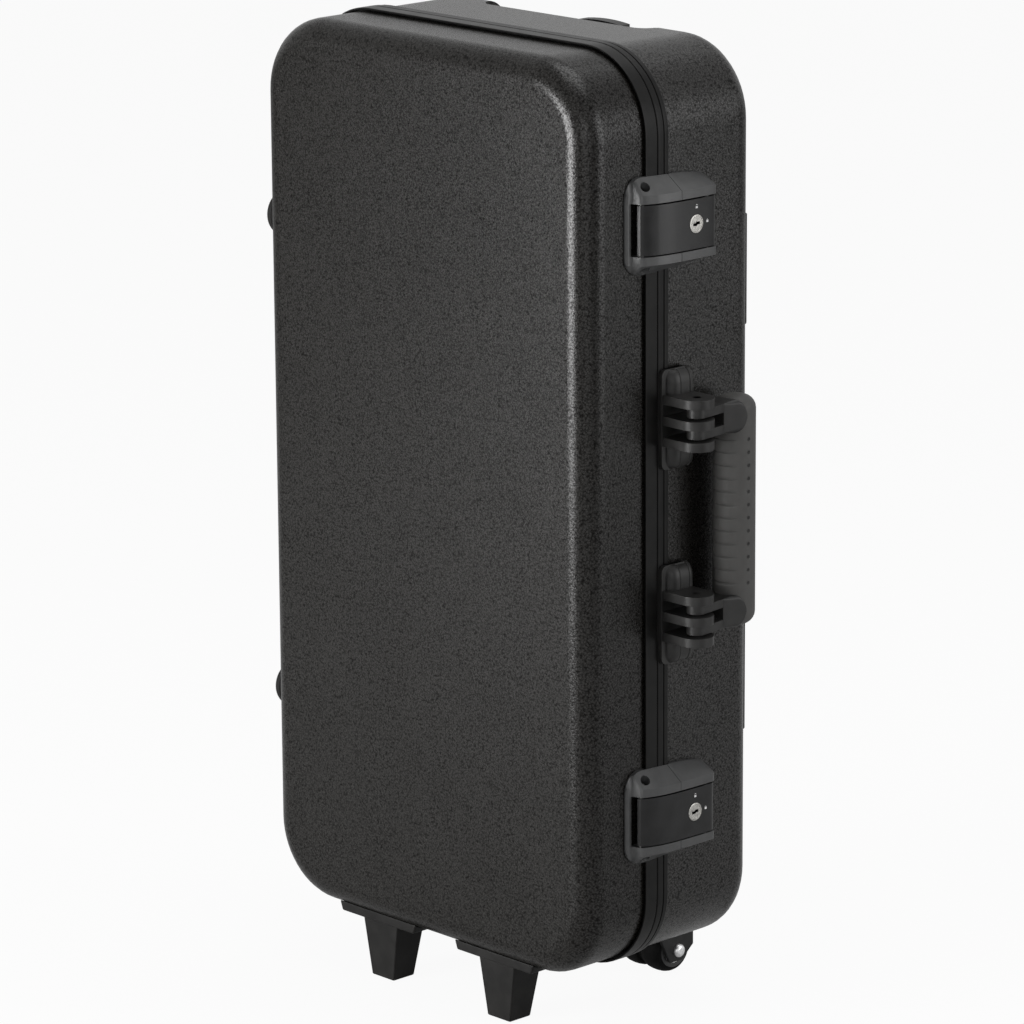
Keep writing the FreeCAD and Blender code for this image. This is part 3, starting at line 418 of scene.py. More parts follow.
def loftOn(bm, face, sections):
    # carries one face on through the sections, each a list of points in the face's own order
    last = [vert.co.copy() for vert in face.verts]
    for section in sections:
        face = bmesh.ops.extrude_discrete_faces(bm, faces=[face])["faces"][0]
        free = list(range(len(last)))
        spots = []
        for vert in face.verts:
            closest = min(free, key=lambda index: (last[index] - vert.co).length)
            free.remove(closest)
            spots.append((vert, Vector(section[closest])))
        for vert, spot in spots:
            vert.co = spot
        last = [Vector(spot) for spot in section]
    return face


def loftFrom(bm, slices):
    return loftOn(bm, bm.faces.new([bm.verts.new(spot) for spot in slices[0]]), slices[1:])


def closeHoles(bm):
    bmesh.ops.holes_fill(bm, edges=bm.edges, sides=0)


def spunRing(bm, profile, centre, axis, steps):
    # profile points are (place on the axis, radius), spun right round
    line = Vector(axis)
    out = Vector((1, 0, 0)) if line.z else Vector((0, 0, 1))
    verts = [bm.verts.new(Vector(centre) + line * place + out * radius) for place, radius in profile]
    edges = [bm.edges.new(pair) for pair in zip(verts, verts[1:])]
    bmesh.ops.spin(bm, geom=verts + edges, cent=centre, axis=axis, angle=math.tau, steps=steps,
                   use_merge=True)
    bmesh.ops.remove_doubles(bm, verts=bm.verts, dist=near["weld"])


def boxOf(bm, low, high):
    spots = [(a + b) / 2 for a, b in zip(low, high)]
    sizes = [b - a for a, b in zip(low, high)]
    bmesh.ops.create_cube(bm, size=1.0, matrix=Matrix.Translation(spots) @ Matrix.Diagonal((*sizes, 1.0)))


def rodOf(bm, radius, foot, axis, length, steps=32):
    turn = Vector((0, 0, 1)).rotation_difference(Vector(axis)).to_matrix().to_4x4()
    middle = Vector(foot) + Vector(axis) * length / 2
    bmesh.ops.create_cone(bm, cap_ends=True, segments=steps, radius1=radius, radius2=radius, depth=length,
                          matrix=Matrix.Translation(middle) @ turn)


def rawObject(bm, name):
    bmesh.ops.remove_doubles(bm, verts=bm.verts, dist=near["weld"])
    bmesh.ops.recalc_face_normals(bm, faces=bm.faces)
    loose = sum(len(edge.link_faces) != 2 for edge in bm.edges)
    if loose:
        print(name, "has", loose, "open edges")
    mesh = bpy.data.meshes.new(name)
    bm.to_mesh(mesh)
    bm.free()
    raw = bpy.data.objects.new(name, mesh)
    bpy.context.collection.objects.link(raw)
    return raw


def carve(raw, tool):
    # takes the tool's shape out of a raw piece and throws the tool away
    cut = raw.modifiers.new("cut", "BOOLEAN")
    cut.operation = "DIFFERENCE"
    cut.solver = "EXACT"
    cut.object = tool
    graph = bpy.context.evaluated_depsgraph_get()
    mesh = bpy.data.meshes.new_from_object(raw.evaluated_get(graph))
    raw.modifiers.clear()
    raw.data = mesh
    bpy.data.objects.remove(tool)
    return raw


roundingSteps = 3


def keepPiece(raw, name, body, look, replaced, rounding=0.0, sharp=35.0):
    # a rounding is given to every edge sharper than the angle; without one these edges stay sharp
    mesh = raw.data
    mesh.transform(Matrix.Translation(case["shift"]))
    mesh.transform(Matrix.Scale(millimetre, 4))
    raw.name = name
    picked = [side.material_index for side in mesh.polygons]
    mesh.materials.clear()
    mesh.materials.append(finish[look])
    mesh.polygons.foreach_set("material_index", picked)
    mesh.shade_smooth()
    if rounding:
        bevel = raw.modifiers.new("rounding", "BEVEL")
        bevel.width = rounding * millimetre
        bevel.segments = roundingSteps
        bevel.limit_method = "ANGLE"
        bevel.angle_limit = math.radians(sharp)
    else:
        mesh.set_sharp_from_angle(angle=math.radians(sharp))
    weighted = raw.modifiers.new("weighted", "WEIGHTED_NORMAL")
    weighted.keep_sharp = True
    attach(raw, body)
    if replaced:
        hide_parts(*replaced)
    return raw


# shells
recess = {"half": 91.0, "depth": 30.0, "height": 48.0, "ends": 14.0, "endSteps": 8, "foot": 4.0,
          "footSteps": 5, "over": 12.0}
shellSet = {"rounding": 1.4, "sharp": 50.0}


def recessTool(grow):
    # the finger recess in the top back edge, grown by a wall where it is cut from an inside
    bm = bmesh.new()
    front = case["depth"] - recess["depth"] - grow
    low = case["height"] - recess["height"] - grow
    half = recess["half"] + grow
    boxOf(bm, (-half, front, low), (half, case["depth"] + recess["over"], case["height"] + recess["over"]))
    upright = [edge for edge in edgesAt(bm, "y", front) if runsAlong(edge, "z")]
    rounded(bm, upright, recess["ends"] + grow, recess["endSteps"])
    inner = [edge for edge in edgesAt(bm, "z", low) if max(vert.co.y for vert in edge.verts) < case["depth"]]
    rounded(bm, inner, recess["foot"] + grow, recess["footSteps"])
    return rawObject(bm, "recessTool")


def makeLidShell():
    bm = bmesh.new()
    outside = edgeArc(0.0, False) + [(0.0, case["lidRim"])]
    inside = edgeArc(-case["wall"], False) + [(-case["wall"], case["lidRim"] - case["rimStep"])]
    sweepOutline(bm, outside + inside[::-1])
    keepPiece(rawObject(bm, "lidShell"), "lidShell", "lid", "pebbleLid", ["lid_shell"])


def backBlock(grow, rim):
    bm = bmesh.new()
    sweepOutline(bm, edgeArc(grow, True) + [(grow, rim)])
    return carve(rawObject(bm, "backBlock"), recessTool(-grow))


def makeBaseShell():
    outer = backBlock(0.0, case["baseRim"])
    inner = backBlock(-case["wall"], case["baseRim"] - case["past"])
    keepPiece(carve(outer, inner), "baseShell", "base", "pebbleBase", ["base_shell"],
              shellSet["rounding"], shellSet["sharp"])


makeLidShell()
makeBaseShell()
print("shells made")


# quilted linings: cuts holds the direction, start and end of each set of grid lines
# lip: how far the rim's rounding goes in, and how far its outer and inner points lie under the rim
lining = {
    "outside": -4.3, "inside": -10.3, "cuts": (((1, 0, 0), -168.0, 168.0), ((0, 0, 1), 12.0, 688.0)),
    "grid": 12.0, "diamond": 72.0, "sunk": 2.2, "swell": 2.2, "flat": 0.05, "under": 0.2, "above": 0.4,
    "rim": 2.5, "lip": (1.2, 0.5, 0.6), "sharp": 60.0, "fill": 0.85,
}


def quiltLining(raw, floorY, inward):
    # cuts the pad into a grid and sinks the sewn lines of its diamonds
    bm = bmesh.new()
    bm.from_mesh(raw.data)
    for way, start, end in lining["cuts"]:
        for number in range(int((end - start) / lining["grid"]) + 1):
            sliceAt(bm, Vector(way) * (start + number * lining["grid"]), way)
    pitch = lining["diamond"]
    for vert in bm.verts:
        if abs(vert.co.y - floorY) < lining["flat"]:
            gaps = []
            for value in (vert.co.x + vert.co.z, vert.co.x - vert.co.z):
                gaps.append(abs((value + pitch / 2) % pitch - pitch / 2) / (pitch / 2))
            swell = min(1.0, lining["swell"] * min(gaps))
            vert.co.y -= inward * lining["sunk"] * (1 - swell) ** 2
    bm.to_mesh(raw.data)
    bm.free()


def finishLining(raw, name, body, node, floorY, inward):
    quiltLining(raw, floorY, inward)
    piece = keepPiece(raw, name, body, "liningCloth", [node], sharp=lining["sharp"])
    piece.modifiers.clear()
    soft = piece.modifiers.new("soft", "SUBSURF")
    soft.levels = 1
    soft.render_levels = 1


def makeLinings():
    bm = bmesh.new()
    rim = case["lidRim"] - lining["under"]
    outside, inside = lining["outside"], lining["inside"]
    inset, outerDrop, innerDrop = lining["lip"]
    lip = [(outside, rim - lining["rim"]), (outside - inset, rim - outerDrop),
           (inside + inset, rim - innerDrop), (inside, rim - lining["rim"])]
    sweepOutline(bm, edgeArc(outside, False) + lip + edgeArc(inside, False)[::-1])
    finishLining(rawObject(bm, "lidLining"), "lidLining", "lid", "lid_lining", -inside, 1.0)
    outer = backBlock(outside, case["baseRim"] + lining["above"])
    inner = backBlock(inside, case["baseRim"] - case["past"])
    finishLining(carve(outer, inner), "baseLining", "base", "base_lining", case["depth"] + inside, -1.0)


makeLinings()
print("linings made")


# valances: smooth bands round the seam, as (grow, y) profiles; the lid's skirt stands off the shell
valance = {
    "lid": [(-4.0, 66.85), (0.15, 66.85), (0.15, 63.0), (1.3, 63.0), (1.3, 59.3), (1.55, 58.85), (2.4, 58.7),
            (2.9, 58.9), (3.0, 59.3), (3.0, 69.9), (2.88, 70.3), (2.6, 70.6), (2.2, 70.7), (-4.0, 70.7)],
    "base": [(-4.0, 75.15), (-4.0, 71.3), (-3.15, 71.3), (-3.15, 73.2), (-0.85, 73.2), (-0.85, 71.3),
             (2.2, 71.3), (2.6, 71.4), (2.88, 71.7), (3.0, 72.1), (3.0, 76.3), (2.85, 76.7), (2.5, 76.85),
             (1.75, 76.95), (1.6, 77.15), (1.6, 78.1), (1.75, 78.3), (2.2, 78.45), (2.5, 78.65), (2.55, 78.9),
             (2.55, 81.9), (2.4, 82.4), (1.9, 82.9), (1.0, 83.2), (0.15, 83.3), (0.15, 75.15)],
}
for half, profile in valance.items():
    band = bmesh.new()
    sweepOutline(band, profile, closed=True)
    keepPiece(rawObject(band, half + "Valance"), half + "Valance", half, "valanceBlack", [half + "_valance"],
              sharp=40.0)
print("valances made")


# latches: a bulged grey frame in two halves, a black lever in its window and a key cylinder in the lever
# crown: (y, x) along the middle; foot: (y, half height) at the wall; the stops are the y of the slices
latch = {
    "middles": {"lower": 125.75, "upper": 575.25}, "front": 38.5, "back": 117.5, "endRadius": 4.0,
    "crown": ((38.5, 178.8), (38.9, 179.7), (39.7, 180.5), (41.2, 181.0), (43.4, 181.2), (43.9, 181.6),
              (44.4, 182.9), (45.0, 185.1), (45.6, 187.2), (46.2, 188.5), (47.2, 189.5), (48.8, 190.4),
              (51.5, 191.4), (55.5, 192.7), (60.0, 194.0), (67.0, 195.3), (75.0, 196.1), (85.0, 196.5),
              (98.0, 196.8), (118.0, 196.8)),
    "foot": ((38.0, 36.3), (53.5, 36.3), (80.0, 35.2), (97.0, 34.2), (112.0, 32.4), (118.0, 30.6)),
    "footRise": 1.6, "riseOver": 4.0, "footCorner": 15.0, "footX": 178.15, "overX": 181.15, "skirtX": 181.5,
    "skirtShare": 0.35, "faceHalf": 26.0, "slopeLeast": 0.6, "wallLeast": 0.5, "windowHalf": 19.6,
    "sliver": 0.02, "lipX": 180.9, "floorX": 180.15, "rounding": 0.9,
    "lipStops": (38.5, 38.65, 38.9, 39.3, 39.9, 40.7, 42.0, 43.4),
    "footStops": (43.9, 44.4, 45.0, 45.6, 46.2, 46.7, 47.2, 48.0, 48.8, 50.1, 51.5,
                  53.0, 54.5, 56.9, 57.7, 58.5),
    "overStops": (58.55, 59.3, 60.1, 62.0, 66.0, 70.0, 75.0, 80.3), "baseStops": (83.45, 80.7),
    "backSteps": (0.0, 0.35, 1.2, 2.4, 4.0, 9.0, 17.0, 25.0, 34.0),
    "well": (186.4, 52.2, 30.4), "wellRadius": 3.9, "wellTilt": (0.54, 0.0, 0.84), "wellDepth": 6.5,
    "wellLong": 16.0,
}
lever = {
    "half": 18.5, "lipIn": 184.9, "tipIn": 186.0, "bodyIn": 183.5, "pivot": (190.6, 111.0), "eye": 6.6,
    "eyeTurns": (0, 14, 28, 42, 56, 70, 82), "rounding": 0.45, "pinHole": 2.15, "pinReach": 30.0,
    "pinSteps": 24,
    "crown": ((45.5, 185.4), (46.1, 187.7), (46.5, 188.4), (47.3, 189.1), (49.0, 190.2), (51.5, 191.6),
              (55.5, 193.1), (60.0, 194.4), (67.0, 195.7), (75.0, 196.5), (85.0, 196.9), (98.0, 197.2),
              (111.0, 197.2)),
    "lipStops": (45.5, 46.1, 46.5, 47.3, 48.0),
    "tipStops": (48.05, 48.5, 49.0, 50.2, 51.5, 53.5, 55.5, 56.9, 57.7, 58.5),
    "bodyStops": (58.55, 59.3, 60.1, 61.5, 63.0, 65.0, 67.0, 71.0, 75.0, 80.0, 86.0, 93.0, 100.0, 106.0),
}
# rim: steps from the face's outer corner inwards; slot zone: margins that pick out the key slot's faces,
# painted near-black as shade in the keyway
keyLock = {
    "y": 94.8, "radius": 7.0, "steps": 56, "hole": 7.12, "holeLong": 30.0, "holeSteps": 48, "back": 182.35,
    "face": 197.4, "rim": ((-0.5, 0.0), (-0.15, -0.15), (0.0, -0.5), (0.0, -1.0), (-0.25, -1.15)),
    "cam": (9.5, 2.0, 1.1), "slotDepth": 2.6, "slotLong": 6.0, "slotShadeZone": (0.1, 0.3, 1.5),
    "slot": ((-3.5, -1.5), (0.2, -1.5), (0.8, -0.6), (3.3, -0.6), (3.3, 1.5), (-0.2, 1.5), (-0.8, 0.6),
             (-3.5, 0.6)),
}
# places: across and up from the key, and how far the bow is raised
mark = {
    "places": ((0.0, 13.0, 0.6), (11.0, 1.2, 0.0)), "lift": 0.05, "sunk": 0.1, "proud": 0.08, "half": 1.0,
    "low": 1.4, "high": 0.1, "bowUp": 0.2, "bowRadius": 0.65, "bowThick": 0.2, "bowSides": 8, "bowSteps": 10,
}


def along(points, y):
    # a smooth curve through (y, value) points
    if y <= points[0][0]:
        return points[0][1]
    for index in range(len(points) - 1):
        (y0, v0), (y1, v1) = points[index], points[index + 1]
        if y <= y1:
            before = points[max(index - 1, 0)]
            after = points[min(index + 2, len(points) - 1)]
            slope0 = (v1 - before[1]) / (y1 - before[0])
            slope1 = (after[1] - v0) / (after[0] - y0)
            t = (y - y0) / (y1 - y0)
            span = y1 - y0
            return (v0 * (1 + 2 * t) * (1 - t) ** 2 + slope0 * span * t * (1 - t) ** 2
                    + v1 * t * t * (3 - 2 * t) + slope1 * span * t * t * (t - 1))
    return points[-1][1]


def roundDrop(radius, into):
    # how far a quarter round has fallen, this far into it
    return radius - math.sqrt(max(0.0, radius ** 2 - into ** 2)) if into > 0 else 0.0


def crownX(y):
    return along(latch["crown"], y) - roundDrop(latch["endRadius"], y - (latch["back"] - latch["endRadius"]))


def frameSection(y, footX, floorX, middle):
    # a slice across the frame: a low skirt, sloped sides, flat face, and the lip or floor between the arms
    x = max(crownX(y), latch["footX"] + latch["wallLeast"])
    corner = latch["footCorner"]
    half = along(latch["foot"], y) - roundDrop(corner, latch["front"] + corner - y)
    face = min(latch["faceHalf"], half - latch["slopeLeast"])
    rise = latch["footRise"] * min(1.0, (half - face) / latch["riseOver"])
    skirt = min(latch["skirtX"], footX + (x - footX) * latch["skirtShare"])
    gap = latch["windowHalf"]
    between = min(floorX, x - latch["sliver"])
    ring = ((footX, rise - half), (skirt, rise - half), (x, -face), (x, -gap), (between, -gap),
            (between, gap), (x, gap), (x, face), (skirt, half + rise), (footX, half + rise), (footX, gap),
            (footX, -gap))
    return [Vector((px, y, middle + pz)) for px, pz in ring]


def frameHalf(joinedY, armStops, floorX, middle):
    # joinedY: the slices where lip or floor joins the arms; armStops: (y, foot) of the arms' own slices
    bm = bmesh.new()
    slices = [frameSection(y, latch["footX"], floorX, middle) for y in joinedY]
    end = loftFrom(bm, slices)
    found = [min(end.verts, key=lambda vert: (vert.co - spot).length) for spot in slices[-1]]
    bmesh.ops.connect_verts(bm, verts=[found[4], found[11]])
    bmesh.ops.connect_verts(bm, verts=[found[5], found[10]])
    for picks in ((0, 1, 2, 3, 4, 11), (5, 6, 7, 8, 9, 10)):
        corners = {found[pick] for pick in picks}
        arm = next(face for face in found[picks[0]].link_faces if set(face.verts) == corners)
        order = [found.index(vert) for vert in arm.verts]
        sections = []
        for y, footX in armStops:
            ring = frameSection(y, footX, (footX + crownX(y)) / 2, middle)
            sections.append([ring[pick] for pick in order])
        loftOn(bm, arm, sections)
    closeHoles(bm)
    return bm


def makeLatch(level):
    middle = latch["middles"][level]
    arms = [(y, latch["footX"]) for y in latch["footStops"]]
    arms += [(y, latch["overX"]) for y in latch["overStops"]]
    raw = rawObject(frameHalf(latch["lipStops"], arms, latch["lipX"], middle), "lidFrame")
    bm = bmesh.new()
    x, y, z = latch["well"]
    for side in (-1, 1):
        tilt = Vector(latch["wellTilt"])
        tilt.z *= side
        spot = Vector((x, y, middle + side * z + latch["footRise"] / 2))
        rodOf(bm, latch["wellRadius"], spot - tilt * latch["wellDepth"], tilt, latch["wellLong"])
    carve(raw, rawObject(bm, "wellTool"))
    keepPiece(raw, "latchLidFrame." + level, "lid", "bezelGrey", ["latch_lid_bezel_" + level],
              latch["rounding"])
    joined = [latch["back"] - step for step in latch["backSteps"]]
    arms = [(y, latch["overX"]) for y in latch["baseStops"]]
    raw = rawObject(frameHalf(joined, arms, latch["floorX"], middle), "baseFrame")
    keepPiece(raw, "latchBaseFrame." + level, "base", "bezelGrey", ["latch_base_plate_" + level],
              latch["rounding"])


def leverSlice(y, inX, outX, middle):
    half = lever["half"]
    return [Vector((x, y, middle + z)) for x, z in ((inX, -half), (outX, -half), (outX, half), (inX, half))]


def makeLever(level):
    middle = latch["middles"][level]
    slices = []
    for part in ("lip", "tip", "body"):
        for y in lever[part + "Stops"]:
            slices.append(leverSlice(y, lever[part + "In"], along(lever["crown"], y), middle))
    pivotX, pivotY = lever["pivot"]
    for turn in lever["eyeTurns"]:
        reach = lever["eye"] * math.cos(math.radians(turn))
        y = pivotY + lever["eye"] * math.sin(math.radians(turn))
        slices.append(leverSlice(y, pivotX - reach, pivotX + reach, middle))
    bm = bmesh.new()
    loftFrom(bm, slices)
    closeHoles(bm)
    raw = rawObject(bm, "lever")
    bm = bmesh.new()
    rodOf(bm, keyLock["hole"], (case["half"], keyLock["y"], middle), (1, 0, 0), keyLock["holeLong"],
          keyLock["holeSteps"])
    reach = lever["pinReach"]
    rodOf(bm, lever["pinHole"], (pivotX, pivotY, middle - reach), (0, 0, 1), 2 * reach, lever["pinSteps"])
    carve(raw, rawObject(bm, "leverTool"))
    keepPiece(raw, "latchLever." + level, "lever_" + level, "leverBlack", ["latch_lever_" + level],
              lever["rounding"])


def makeKey(level):
    middle = latch["middles"][level]
    y, face, back, radius = keyLock["y"], keyLock["face"], keyLock["back"], keyLock["radius"]
    bm = bmesh.new()
    rim = [(face + place, radius + step) for place, step in keyLock["rim"]]
    profile = [(back, 0.0), (back, radius)] + rim + [(rim[-1][0], 0.0)]
    spunRing(bm, profile, (0.0, y, middle), (1, 0, 0), keyLock["steps"])
    raw = rawObject(bm, "key")
    bm = bmesh.new()
    floor = face - keyLock["slotDepth"]
    shape = [bm.verts.new((floor, y + across, middle + up)) for across, up in keyLock["slot"]]
    drawOut(bm, bm.faces.new(shape), (keyLock["slotLong"], 0, 0))
    carve(raw, rawObject(bm, "slotTool"))
    bm = bmesh.new()
    bm.from_mesh(raw.data)
    reach, half, thick = keyLock["cam"]
    boxOf(bm, (back, y, middle - half), (back + thick, y + reach, middle + half))
    # faces inside the key slot take the second, near-black finish: painted shade in the keyway
    below, above, aside = keyLock["slotShadeZone"]
    for side in bm.faces:
        spot = side.calc_center_median()
        inside = math.hypot(spot.y - y, spot.z - middle) < radius - aside
        if inside and floor - below < spot.x < face - above:
            side.material_index = 1
    bm.to_mesh(raw.data)
    bm.free()
    key = keepPiece(raw, "keyCylinder." + level, "key_" + level, "keyNickel", ["key_cylinder_" + level])
    # the second finish is the near-black rubber, painted shade for the key slot
    key.data.materials.append(finish["tyreRubber"])


def makeMarks(level):
    # two small padlock signs on the lever, one open and one closed
    bm = bmesh.new()
    for across, up, raised in mark["places"]:
        y = keyLock["y"] + across
        z = latch["middles"][level] + up
        x = along(lever["crown"], y) + mark["lift"]
        boxOf(bm, (x - mark["sunk"], y - mark["half"], z - mark["low"]),
              (x + mark["proud"], y + mark["half"], z + mark["high"]))
        bow = z + mark["bowUp"] + raised
        ring = bmesh.ops.create_circle(bm, segments=mark["bowSides"], radius=mark["bowThick"], cap_ends=True,
                                       matrix=Matrix.Translation((x, y - mark["bowRadius"], bow)))
        faces = list({face for vert in ring["verts"] for face in vert.link_faces})
        bmesh.ops.spin(bm, geom=faces, cent=(x, y, bow), axis=(1, 0, 0), angle=-math.pi,
                       steps=mark["bowSteps"])
    keepPiece(rawObject(bm, "marks"), "lockMarks." + level, "lever_" + level, "paleMark", [])


for level in latch["middles"]:
    makeLatch(level)
    makeLever(level)
    makeKey(level)
    makeMarks(level)
print("latches made")


# handle brackets: a plate with a lobe at each end and three lugs between, and a cover let into each lobe
# cover: its border, the groove round it, the groove's depth and how much of that the cover rises again
# footIn: how far the part under the plate reaches into it, and stays inside its back and its ends
# panelFacing: least turn outwards and most turn along y of the lobe's faces that get a cover
bracket = {
    "front": 76.0, "back": 99.7, "overX": 181.25, "footX": 178.15, "footFront": 83.6,
    "footIn": (0.5, 0.3, 1.0), "half": 38.0, "axisX": 207.0, "axisY": 85.7, "plateFront": 71.7,
    "plateX": 184.6, "plateCorner": 5.0, "plateSteps": 5, "rimAbove": 1.0,
    "endRound": 3.2, "frontRound": 7.5, "endSteps": 5,
    "saddle": ((183.6, 38.0), (186.6, 37.2), (189.0, 35.0), (190.5, 31.5), (191.0, 27.5), (191.0, 17.0)),
    "cover": (1.2, 0.5, 0.8, 0.8), "panelFacing": (0.25, 0.05), "panelArea": 30.0, "panelFrom": 21.5,
    "lugHalf": 13.0, "lugFoot": 183.0, "lugThick": 7.0, "lugPitch": 16.0, "lugSteps": 10,
    "rounding": 1.2, "sharp": 42.0,
}
tabEnds = slice(1, 3)


def makeBracket(level):
    middle = handle["middles"][level]
    over, back, tall = bracket["overX"], bracket["back"], bracket["half"]
    bm = bmesh.new()
    ring = [(over, tall), *bracket["saddle"], (over, bracket["saddle"][-1][1])]
    for side in (-1, 1):
        face = bm.faces.new([bm.verts.new((x, bracket["front"], middle + side * z)) for x, z in ring])
        drawOut(bm, face, (0, back - bracket["front"], 0))
    bmesh.ops.recalc_face_normals(bm, faces=bm.faces)
    for y, size in ((bracket["front"], bracket["frontRound"]), (back, bracket["endRound"])):
        rim = [edge for edge in edgesAt(bm, "y", y)
               if min(vert.co.x for vert in edge.verts) > over + bracket["rimAbove"]]
        rounded(bm, rim, size, bracket["endSteps"])
    border, groove, sunk, share = bracket["cover"]
    outward, aside = bracket["panelFacing"]
    for side in (-1, 1):
        panel = [face for face in bm.faces if face.normal.x > outward and abs(face.normal.y) < aside
                 and face.calc_area() > bracket["panelArea"]
                 and side * (face.calc_center_median().z - middle) > bracket["panelFrom"]]
        for thickness, depth in ((border, 0.0), (groove, -sunk), (groove, sunk * share)):
            bmesh.ops.inset_region(bm, faces=panel, thickness=thickness, depth=depth, use_even_offset=True)
    raised, short, low = bracket["footIn"]
    boxOf(bm, (bracket["footX"], bracket["footFront"], middle - tall + low),
          (over + raised, back - short, middle + tall - low))
    corners = [(over, y, middle + z) for y, z in ((bracket["plateFront"], -tall), (back, -tall), (back, tall),
                                                  (bracket["plateFront"], tall))]
    plate = cutRound(bm, corners, bracket["plateCorner"], bracket["plateSteps"])
    drawOut(bm, plate, (bracket["plateX"] - over, 0, 0))
    half = bracket["lugHalf"]
    start, tip = bracket["lugFoot"], bracket["axisX"] + half
    low, high = bracket["axisY"] - half, bracket["axisY"] + half
    for step in (-1, 0, 1):
        foot = middle + step * bracket["lugPitch"] - bracket["lugThick"] / 2
        corners = [(start, low, foot), (tip, low, foot), (tip, high, foot), (start, high, foot)]
        lug = cutRound(bm, corners, half - near["touch"], bracket["lugSteps"], tabEnds)
        drawOut(bm, lug, (0, 0, bracket["lugThick"]))
    keepPiece(rawObject(bm, "bracket"), "handleBracket." + level, "base", "handleBlack",
              ["handle_bracket_" + level], bracket["rounding"], bracket["sharp"])


def foldHandle(raw):
    turn = Matrix.Rotation(math.radians(handle["fold"]), 4, "Z")
    raw.data.transform(Matrix.Translation((*handle["pivot"], 0)) @ turn)


def makeHandleCore():
    bm = bmesh.new()
    half, end = handle["prongHalf"], handle["prongEnd"]
    for middle in handle["middles"].values():
        for side in (-1, 1):
            foot = middle + side * handle["prongPitch"] / 2 - handle["prongThick"] / 2
            corners = [(-half, end, foot), (-half, -half, foot), (half, -half, foot), (half, end, foot)]
            prong = cutRound(bm, corners, half - near["touch"], handle["prongSteps"], tabEnds)
            drawOut(bm, prong, (0, 0, handle["prongThick"]))
    raw = rawObject(bm, "prongs")
    bm = bmesh.new()
    for middle in handle["middles"].values():
        rodOf(bm, handle["pinHole"], (0, 0, middle - handle["pinReach"]), (0, 0, 1), 2 * handle["pinReach"])
    carve(raw, rawObject(bm, "pinTool"))
    bm = bmesh.new()
    bm.from_mesh(raw.data)
    wide, gain = handle["flare"]
    least, more, most = handle["armCorner"]
    for middle in handle["middles"].values():
        # the arm widens into a rounded tongue that lies on the grip, a little proud of it
        rings = []
        for y, tall in handle["arm"]:
            onward = y - handle["arm"][0][0]
            onGrip = math.sqrt(max(0.0, handle["tongueRadius"] ** 2 - (handle["reach"] - y) ** 2))
            half = max((wide + gain * onward) / 2, onGrip)
            low, high = middle - tall / 2, middle + tall / 2
            corners = [(-half, y, low), (half, y, low), (half, y, high), (-half, y, high)]
            radius = min(least + more * onward, most, tall / 3)
            rings.append(cutRound(bm, corners, radius, handle["armSteps"]))
        bridgeFaces(bm, rings)
    inGrip = handle["gripHalf"] - handle["coreStop"]
    rodOf(bm, handle["coreRadius"], (0, handle["reach"], handle["middle"] - inGrip), (0, 0, 1), 2 * inGrip)
    bmesh.ops.recalc_face_normals(bm, faces=bm.faces)
    bm.to_mesh(raw.data)
    bm.free()
    foldHandle(raw)
    keepPiece(raw, "handleCore", "carry_handle", "handleBlack", ["handle_core"],
              handle["rounding"], handle["sharp"])


def makeHandleGrip():
    half, radius, edge = handle["gripHalf"], handle["gripRadius"], handle["gripEnd"]
    lower = [(-half, 0.0)]
    for cosine, sine in quarterTurn(handle["endSteps"]):
        lower.append((-half + edge - edge * cosine, radius - edge + edge * sine))
    first = handle["grooveRise"] - (handle["grooves"] - 1) / 2 * handle["groovePitch"]
    centres = [first + number * handle["groovePitch"] for number in range(handle["grooves"])]
    stops = [(spot + offset, radius) for spot in centres for offset in handle["grooveStops"]]
    upper = [(-place, wide) for place, wide in lower[::-1]]
    bm = bmesh.new()
    centre = (0, handle["reach"], handle["middle"])
    spunRing(bm, lower + stops + upper, centre, (0, 0, 1), handle["gripSteps"])
    for vert in bm.verts:
        out = Vector((vert.co.x, vert.co.y - handle["reach"], 0))
        if out.length < radius - handle["skin"]:
            continue
        height = vert.co.z - handle["middle"]
        off = min(abs(height - spot) for spot in centres)
        turn = math.degrees(abs(math.atan2(out.x, -out.y)))
        fade = max(0.0, min(1.0, (handle["grooveSpread"] - turn) / handle["grooveFade"]))
        if off < handle["grooveReach"] and fade > 0:
            share = 1.0 if off < near["touch"] else handle["grooveSide"]
            vert.co -= out.normalized() * handle["grooveDepth"] * fade * share
    raw = rawObject(bm, "grip")
    foldHandle(raw)
    keepPiece(raw, "handleGrip", "carry_handle", "softGrip", ["handle_grip"], sharp=60.0)


for level in handle["middles"]:
    makeBracket(level)
makeHandleCore()
makeHandleGrip()
print("carry handle made")


# tall feet under the lid: a flange that follows the rounded edge, and a tapered leg
# top and sole of the leg: half width, front, back and height
foot = {
    "middles": {"left": -66.0, "right": 66.0}, "flangeHalf": 44.0,
    "flangeStops": (9.0, 11.0, 14.0, 17.0, 20.0, 34.0, 49.0), "flangeLow": -5.0, "flangeSlope": 3.0,
    "seat": 0.15, "top": (20.0, 12.0, 42.0, -3.0), "sole": (12.5, 14.0, 36.0, -52.0), "rounding": 1.3,
}


def makeFoot(side):
    middle = foot["middles"][side]
    bm = bmesh.new()
    slices = []
    wide, low = foot["flangeHalf"], foot["flangeLow"]
    narrow = wide - foot["flangeSlope"]
    for y in foot["flangeStops"]:
        high = roundDrop(case["edge"], case["edge"] - y) - foot["seat"]
        ring = ((-wide, high), (-narrow, low), (narrow, low), (wide, high))
        slices.append([Vector((middle + x, y, z)) for x, z in ring])
    loftFrom(bm, slices)
    closeHoles(bm)
    rings = []
    for half, front, back, z in (foot["top"], foot["sole"]):
        corners = [(middle - half, front, z), (middle + half, front, z), (middle + half, back, z),
                   (middle - half, back, z)]
        rings.append(cutRound(bm, corners, 0.0, 1))
    bridgeFaces(bm, rings)
    keepPiece(rawObject(bm, "foot"), "lidFoot." + side, "lid", "footBlack", ["lid_foot_" + side],
              foot["rounding"])


